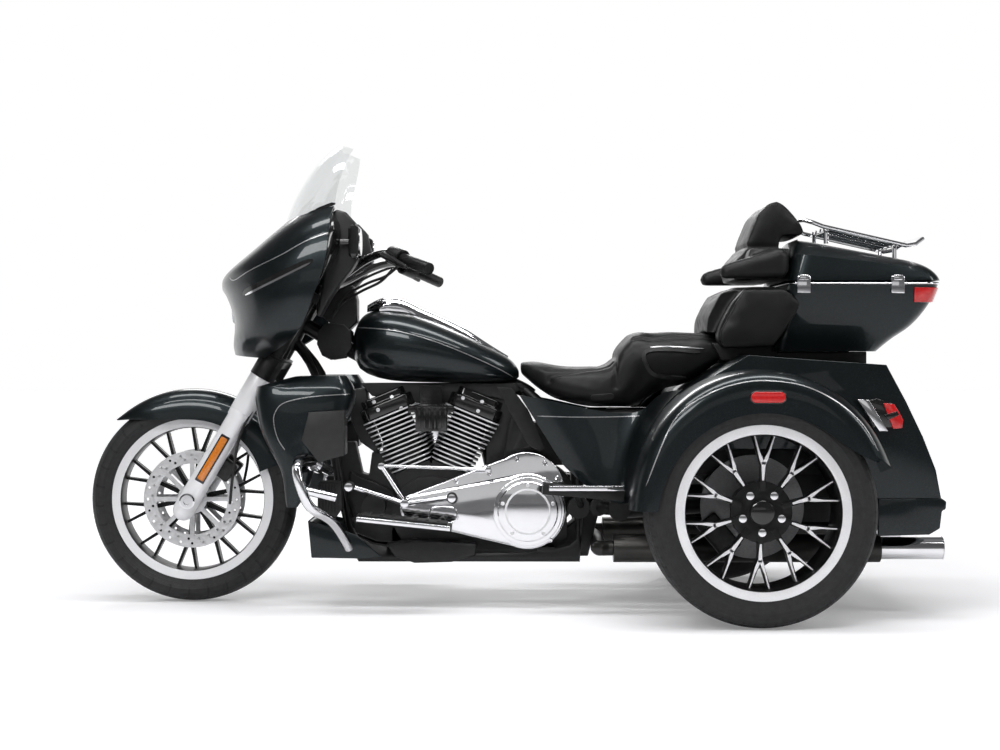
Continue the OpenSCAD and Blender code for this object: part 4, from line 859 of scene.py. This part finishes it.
# Rim as parts of the dial's radius and heights; marks as (outward, sideways) corners
DIAL_RIM = [(1.12, -0.030), (1.12, 0.006), (1.06, 0.010), (0.98, 0.010), (0.96, 0.004)]
TICK = ((0.76, -1), (0.90, -1), (0.90, 1), (0.76, 1))
NEEDLE = ((-0.12, -1), (0.7, -0.3), (0.7, 0.3), (-0.12, 1))
NEEDLE_TURN = -1.9


def dial_mark(bm, where, normal, turn, lift, half, r, corners):
    up = (UP - normal*normal.z).normalized()
    way = up*math.cos(turn) + up.cross(normal)*math.sin(turn)
    edge = way.cross(normal)*(r*half)
    bm.faces.new([bm.verts.new(where + normal*lift + way*(r*u) + edge*e) for u, e in corners])


for tag, y, z, r in (("speed", 0.085, 1.105, 0.046), ("engine", -0.085, 1.105, 0.046),
                     ("fuel", 0.175, 1.090, 0.026), ("volts", -0.175, 1.090, 0.026)):
    where, normal = dash_point(y, z)
    if where is not None:
        spot = [(where, normal)]
        turned(f"dial_{tag}_rim", spot, [(r*k, h) for k, h in DIAL_RIM], CHROME, "steering", 40)
        turned(f"dial_{tag}_face", spot, [(r, 0.002), (r, 0.0045), (0.0005, 0.0046)], GLOSS, "steering", 40)
        bm = bmesh.new()
        for k in range(11):
            dial_mark(bm, where, normal, math.radians(-120 + 24*k), 0.0052, 0.018, r, TICK)
        dial_mark(bm, where, normal, NEEDLE_TURN, 0.0056, 0.03, r, NEEDLE)
        mesh_piece(f"dial_{tag}_marks", bm, SATIN, "steering", False)
where, normal = dash_point(0.0, 1.000)
if where is not None:
    slope = Matrix.Rotation(math.atan2(normal.z, -normal.x), 3, "Y")
    block("dash_screen_frame", [where + normal*0.004], (0.016, 0.190, 0.110), PLASTIC, "steering", 0.006, slope)
    block("dash_screen", [where + normal*0.0125], (0.003, 0.166, 0.088), DARK_GLASS, "steering", 0.001, slope)
for side in SIDES:
    where, normal = dash_point(side*0.175, 0.985)
    if where is not None:
        spot = [(where, normal)]
        turned(f"speaker_ring_{hand(side)}", spot,
               [(0.060, -0.020), (0.060, 0.006), (0.056, 0.009), (0.051, 0.008), (0.050, 0.001)],
               GLOSS, "steering", 40)
        turned(f"speaker_mesh_{hand(side)}", spot,
               [(0.0505, 0.002), (0.045, 0.0045), (0.025, 0.0065), (0.0005, 0.007)], GRILLE, "steering", 40)


# Padded pieces: the solid, remeshed and drawn in, swells by cloth pressure up to a cap and gets its seams
VOXEL, DRAWN_IN = 0.007, 0.004
PRESSURE, CAP, STEPS = 2.0, 0.006, 20
HELD = 0.02  # height of the foot that stays
SEAM_WIDTH, SEAM_DEPTH = 0.0055, 0.0075


def bake(o):
    g = bpy.context.evaluated_depsgraph_get()
    me = bpy.data.meshes.new_from_object(o.evaluated_get(g))
    o.modifiers.clear()
    o.data = me
    smooth_faces(o)


def swell(o):
    held = o.vertex_groups.new(name="held")
    low = min(v.co.z for v in o.data.vertices)
    for v in o.data.vertices:
        if v.co.z < low + HELD:
            held.add([v.index], 1.0, "REPLACE")
    c = o.modifiers.new("cloth", "CLOTH")
    c.settings.quality = 4
    c.settings.mass = 0.4
    c.settings.tension_stiffness = c.settings.compression_stiffness = 18
    c.settings.bending_stiffness = 4
    c.settings.use_pressure = True
    c.settings.uniform_pressure_force = PRESSURE
    c.settings.vertex_group_mass = "held"
    c.settings.effector_weights.gravity = 0.0
    c.collision_settings.use_collision = False
    c.collision_settings.use_self_collision = False
    c.point_cache.frame_start, c.point_cache.frame_end = 1, STEPS
    for f in range(1, STEPS + 1):
        scene.frame_set(f)
    bake(o)
    scene.frame_set(1)


def press_in(o, depth):
    """Moves each point inward by depth(point)."""
    normals = [v.normal.copy() for v in o.data.vertices]
    for v, n in zip(o.data.vertices, normals):
        v.co -= n*depth(v.co)


def pad(name, seams):
    """Leather cover for a foam solid; each seam gives a point's distance from it."""
    bm = bmesh.new()
    bm.from_mesh(nodes[name].data)
    bmesh.ops.remove_doubles(bm, verts=bm.verts, dist=WELD)
    bm.normal_update()
    o = mesh_piece(name + "_pad", bm, LEATHER, body_of(name))
    r = o.modifiers.new("even", "REMESH")
    r.mode = "VOXEL"
    r.voxel_size = VOXEL
    bake(o)
    press_in(o, lambda p: DRAWN_IN)
    rest = [v.co.copy() for v in o.data.vertices]
    swell(o)
    for v, q in zip(o.data.vertices, rest):
        d = v.co - q
        if d.length > CAP:
            v.co = q + d*(CAP/d.length)
    calm = o.modifiers.new("calm", "SMOOTH")
    calm.factor = 0.5
    calm.iterations = 8
    bake(o)
    press_in(o, lambda p: SEAM_DEPTH*max(math.exp(-(far(p)/SEAM_WIDTH)**2) for far in seams))
    smooth_faces(o)
    s = o.modifiers.new("smooth", "SUBSURF")
    s.levels = s.render_levels = 1
    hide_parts(name)
    return o


SEAT_FRONT, SEAT_REAR = FRONT.x - 1.018, REAR.x + 0.056
FAR = 1.0  # no seam here


def along(t):
    return SEAT_FRONT + (SEAT_REAR - SEAT_FRONT)*t


seat_pad = pad("seat", [
    lambda p: abs(p.x - along(0.47)) if p.z > 0.66 else FAR,
    lambda p: abs(abs(p.y) - 0.128) if along(0.12) > p.x > along(0.46) and p.z > 0.68 else FAR,
    lambda p: abs(abs(p.y) - 0.135) if p.x < along(0.56) and p.z > 0.78 else FAR])
pad("backrest_lower", [
    lambda p: abs(abs(p.y) - 0.197),
    lambda p: abs(abs(p.y) - 0.285) if p.z > 0.8 else FAR])
pad("backrest_upper", [
    lambda p: abs(p.z - 1.095) if abs(p.y) < 0.17 else FAR,
    lambda p: abs(abs(p.y) - 0.158) if p.z < 1.1 else FAR])

lay("seat_handle", [(700, 352), (672, 350), (650, 351), (644, 355), (646, 364), (652, 373), (662, 376),
                    (686, 377)], seat_pad, 0.012, PLASTIC, 0.0010, 0.006)
lay("seat_handle_line", [(704, 349), (672, 347), (650, 348)], seat_pad, 0.004, STRIPE, 0.0010, 0.003)
lay("seat_plate", [(591, 398), (600, 397), (614, 396)], seat_pad, 0.022, PLASTIC, 0.0006, 0.003)


# Floor, light and camera

def flat(name, size, z, m):
    bm = bmesh.new()
    bmesh.ops.create_grid(bm, x_segments=8, y_segments=8, size=size)
    for v in bm.verts:
        v.co.z = z
    me = bpy.data.meshes.new(name)
    bm.to_mesh(me)
    bm.free()
    me.materials.append(m)
    o = bpy.data.objects.new(name, me)
    scene.collection.objects.link(o)


def seen(t):
    """Rays that show the backdrop, from the camera or through the screen; and rays from gloss."""
    path = add(t, "ShaderNodeLightPath")
    shown = calc(t, "MAXIMUM", path.outputs["Is Camera Ray"], path.outputs["Is Transmission Ray"])
    return shown, path.outputs["Is Glossy Ray"]


def make_floor():
    m, t, b = tree("floor_pale")
    t.links.new(ramp(t, noise(t, 3.0), [(0.3, grey(0.80)), (0.7, grey(0.84))]), b.inputs["Base Color"])
    t.links.new(spread(t, noise(t, 7.0), 0.55, 0.65), b.inputs["Roughness"])
    far = add(t, "ShaderNodeVectorMath", operation="LENGTH")
    t.links.new(place(t), far.inputs[0])
    eye_rays, gloss_rays = seen(t)
    b.inputs["Emission Color"].default_value = (1.0, 1.0, 1.0, 1.0)
    spot = add(t, "ShaderNodeSeparateXYZ")
    t.links.new(place(t), spot.inputs[0])
    behind = calc(t, "MULTIPLY", gloss_rays, span(t, spot.outputs["Y"], 0.6, -0.6))
    glow = span(t, far.outputs["Value"], 1.6, 6.0, 0.22, 0.88)
    t.links.new(calc(t, "MULTIPLY", calc(t, "MAXIMUM", eye_rays, behind), glow), b.inputs["Emission Strength"])
    return m


flat("floor", 40.0, -0.0005, make_floor())


def lamp(name, where, aim, size, watts):
    d = bpy.data.lights.new(name, "AREA")
    d.shape = "RECTANGLE"
    d.size, d.size_y = size
    d.energy = watts
    o = bpy.data.objects.new(name, d)
    o.location = where
    o.rotation_euler = (Vector(aim) - Vector(where)).to_track_quat("-Z", "Y").to_euler()
    scene.collection.objects.link(o)


lamp("top_light", (0.0, 0.5, 4.6), (0, 0, 0.4), (5.0, 0.9), 150)
lamp("strip_light", (0.0, 2.9, 3.9), (0, 0, 0.6), (5.0, 0.35), 72)
lamp("side_light", (1.9, 4.6, 3.2), (0, 0, 0.7), (2.4, 1.0), 78)
lamp("card_light", (0.2, 8.6, 1.6), (0, 0, 0.7), (7.0, 1.0), 9)
lamp("rear_light", (-3.6, 1.8, 2.6), (-0.4, 0, 0.7), (0.8, 2.0), 34)
lamp("back_light", (0.6, -4.2, 3.2), (0, 0, 0.6), (3.0, 1.2), 75)

world = bpy.data.worlds.new("studio")
scene.world = world
world.use_nodes = True
wt = world.node_tree
direction = add(wt, "ShaderNodeSeparateXYZ")
wt.links.new(add(wt, "ShaderNodeTexCoord").outputs["Generated"], direction.inputs[0])
room = ramp(wt, span(wt, direction.outputs["Z"], -1.0, 1.0), [
    (0.0, grey(0.30)), (0.49, grey(0.16)), (0.58, grey(0.11)), (0.66, grey(0.08)), (0.86, grey(0.08)),
    (1.0, grey(0.20))])
eye_rays, gloss_rays = seen(wt)
backdrop = calc(wt, "MULTIPLY", span(wt, direction.outputs["Y"], 0.15, -0.35),
                span(wt, direction.outputs["Z"], 0.42, 0.22))
both = add(wt, "ShaderNodeMix", data_type="RGBA")
factor, first, second, mixed = both.inputs[0], both.inputs[6], both.inputs[7], both.outputs[2]
second.default_value = (1.0, 1.0, 1.0, 1.0)
wt.links.new(calc(wt, "MAXIMUM", eye_rays, calc(wt, "MULTIPLY", gloss_rays, backdrop)), factor)
wt.links.new(room, first)
wt.links.new(mixed, wt.nodes["Background"].inputs["Color"])

cam = bpy.data.cameras.new("camera")
cam.sensor_width = SENSOR
cam.lens = SENSOR*FOCUS/WIDE
cam.shift_y = (MID_PY - HIGH/2)/WIDE
eye = bpy.data.objects.new("camera", cam)
eye.location = EYE
eye.rotation_euler = (math.radians(90), 0, math.radians(180))
scene.collection.objects.link(eye)
scene.camera = eye
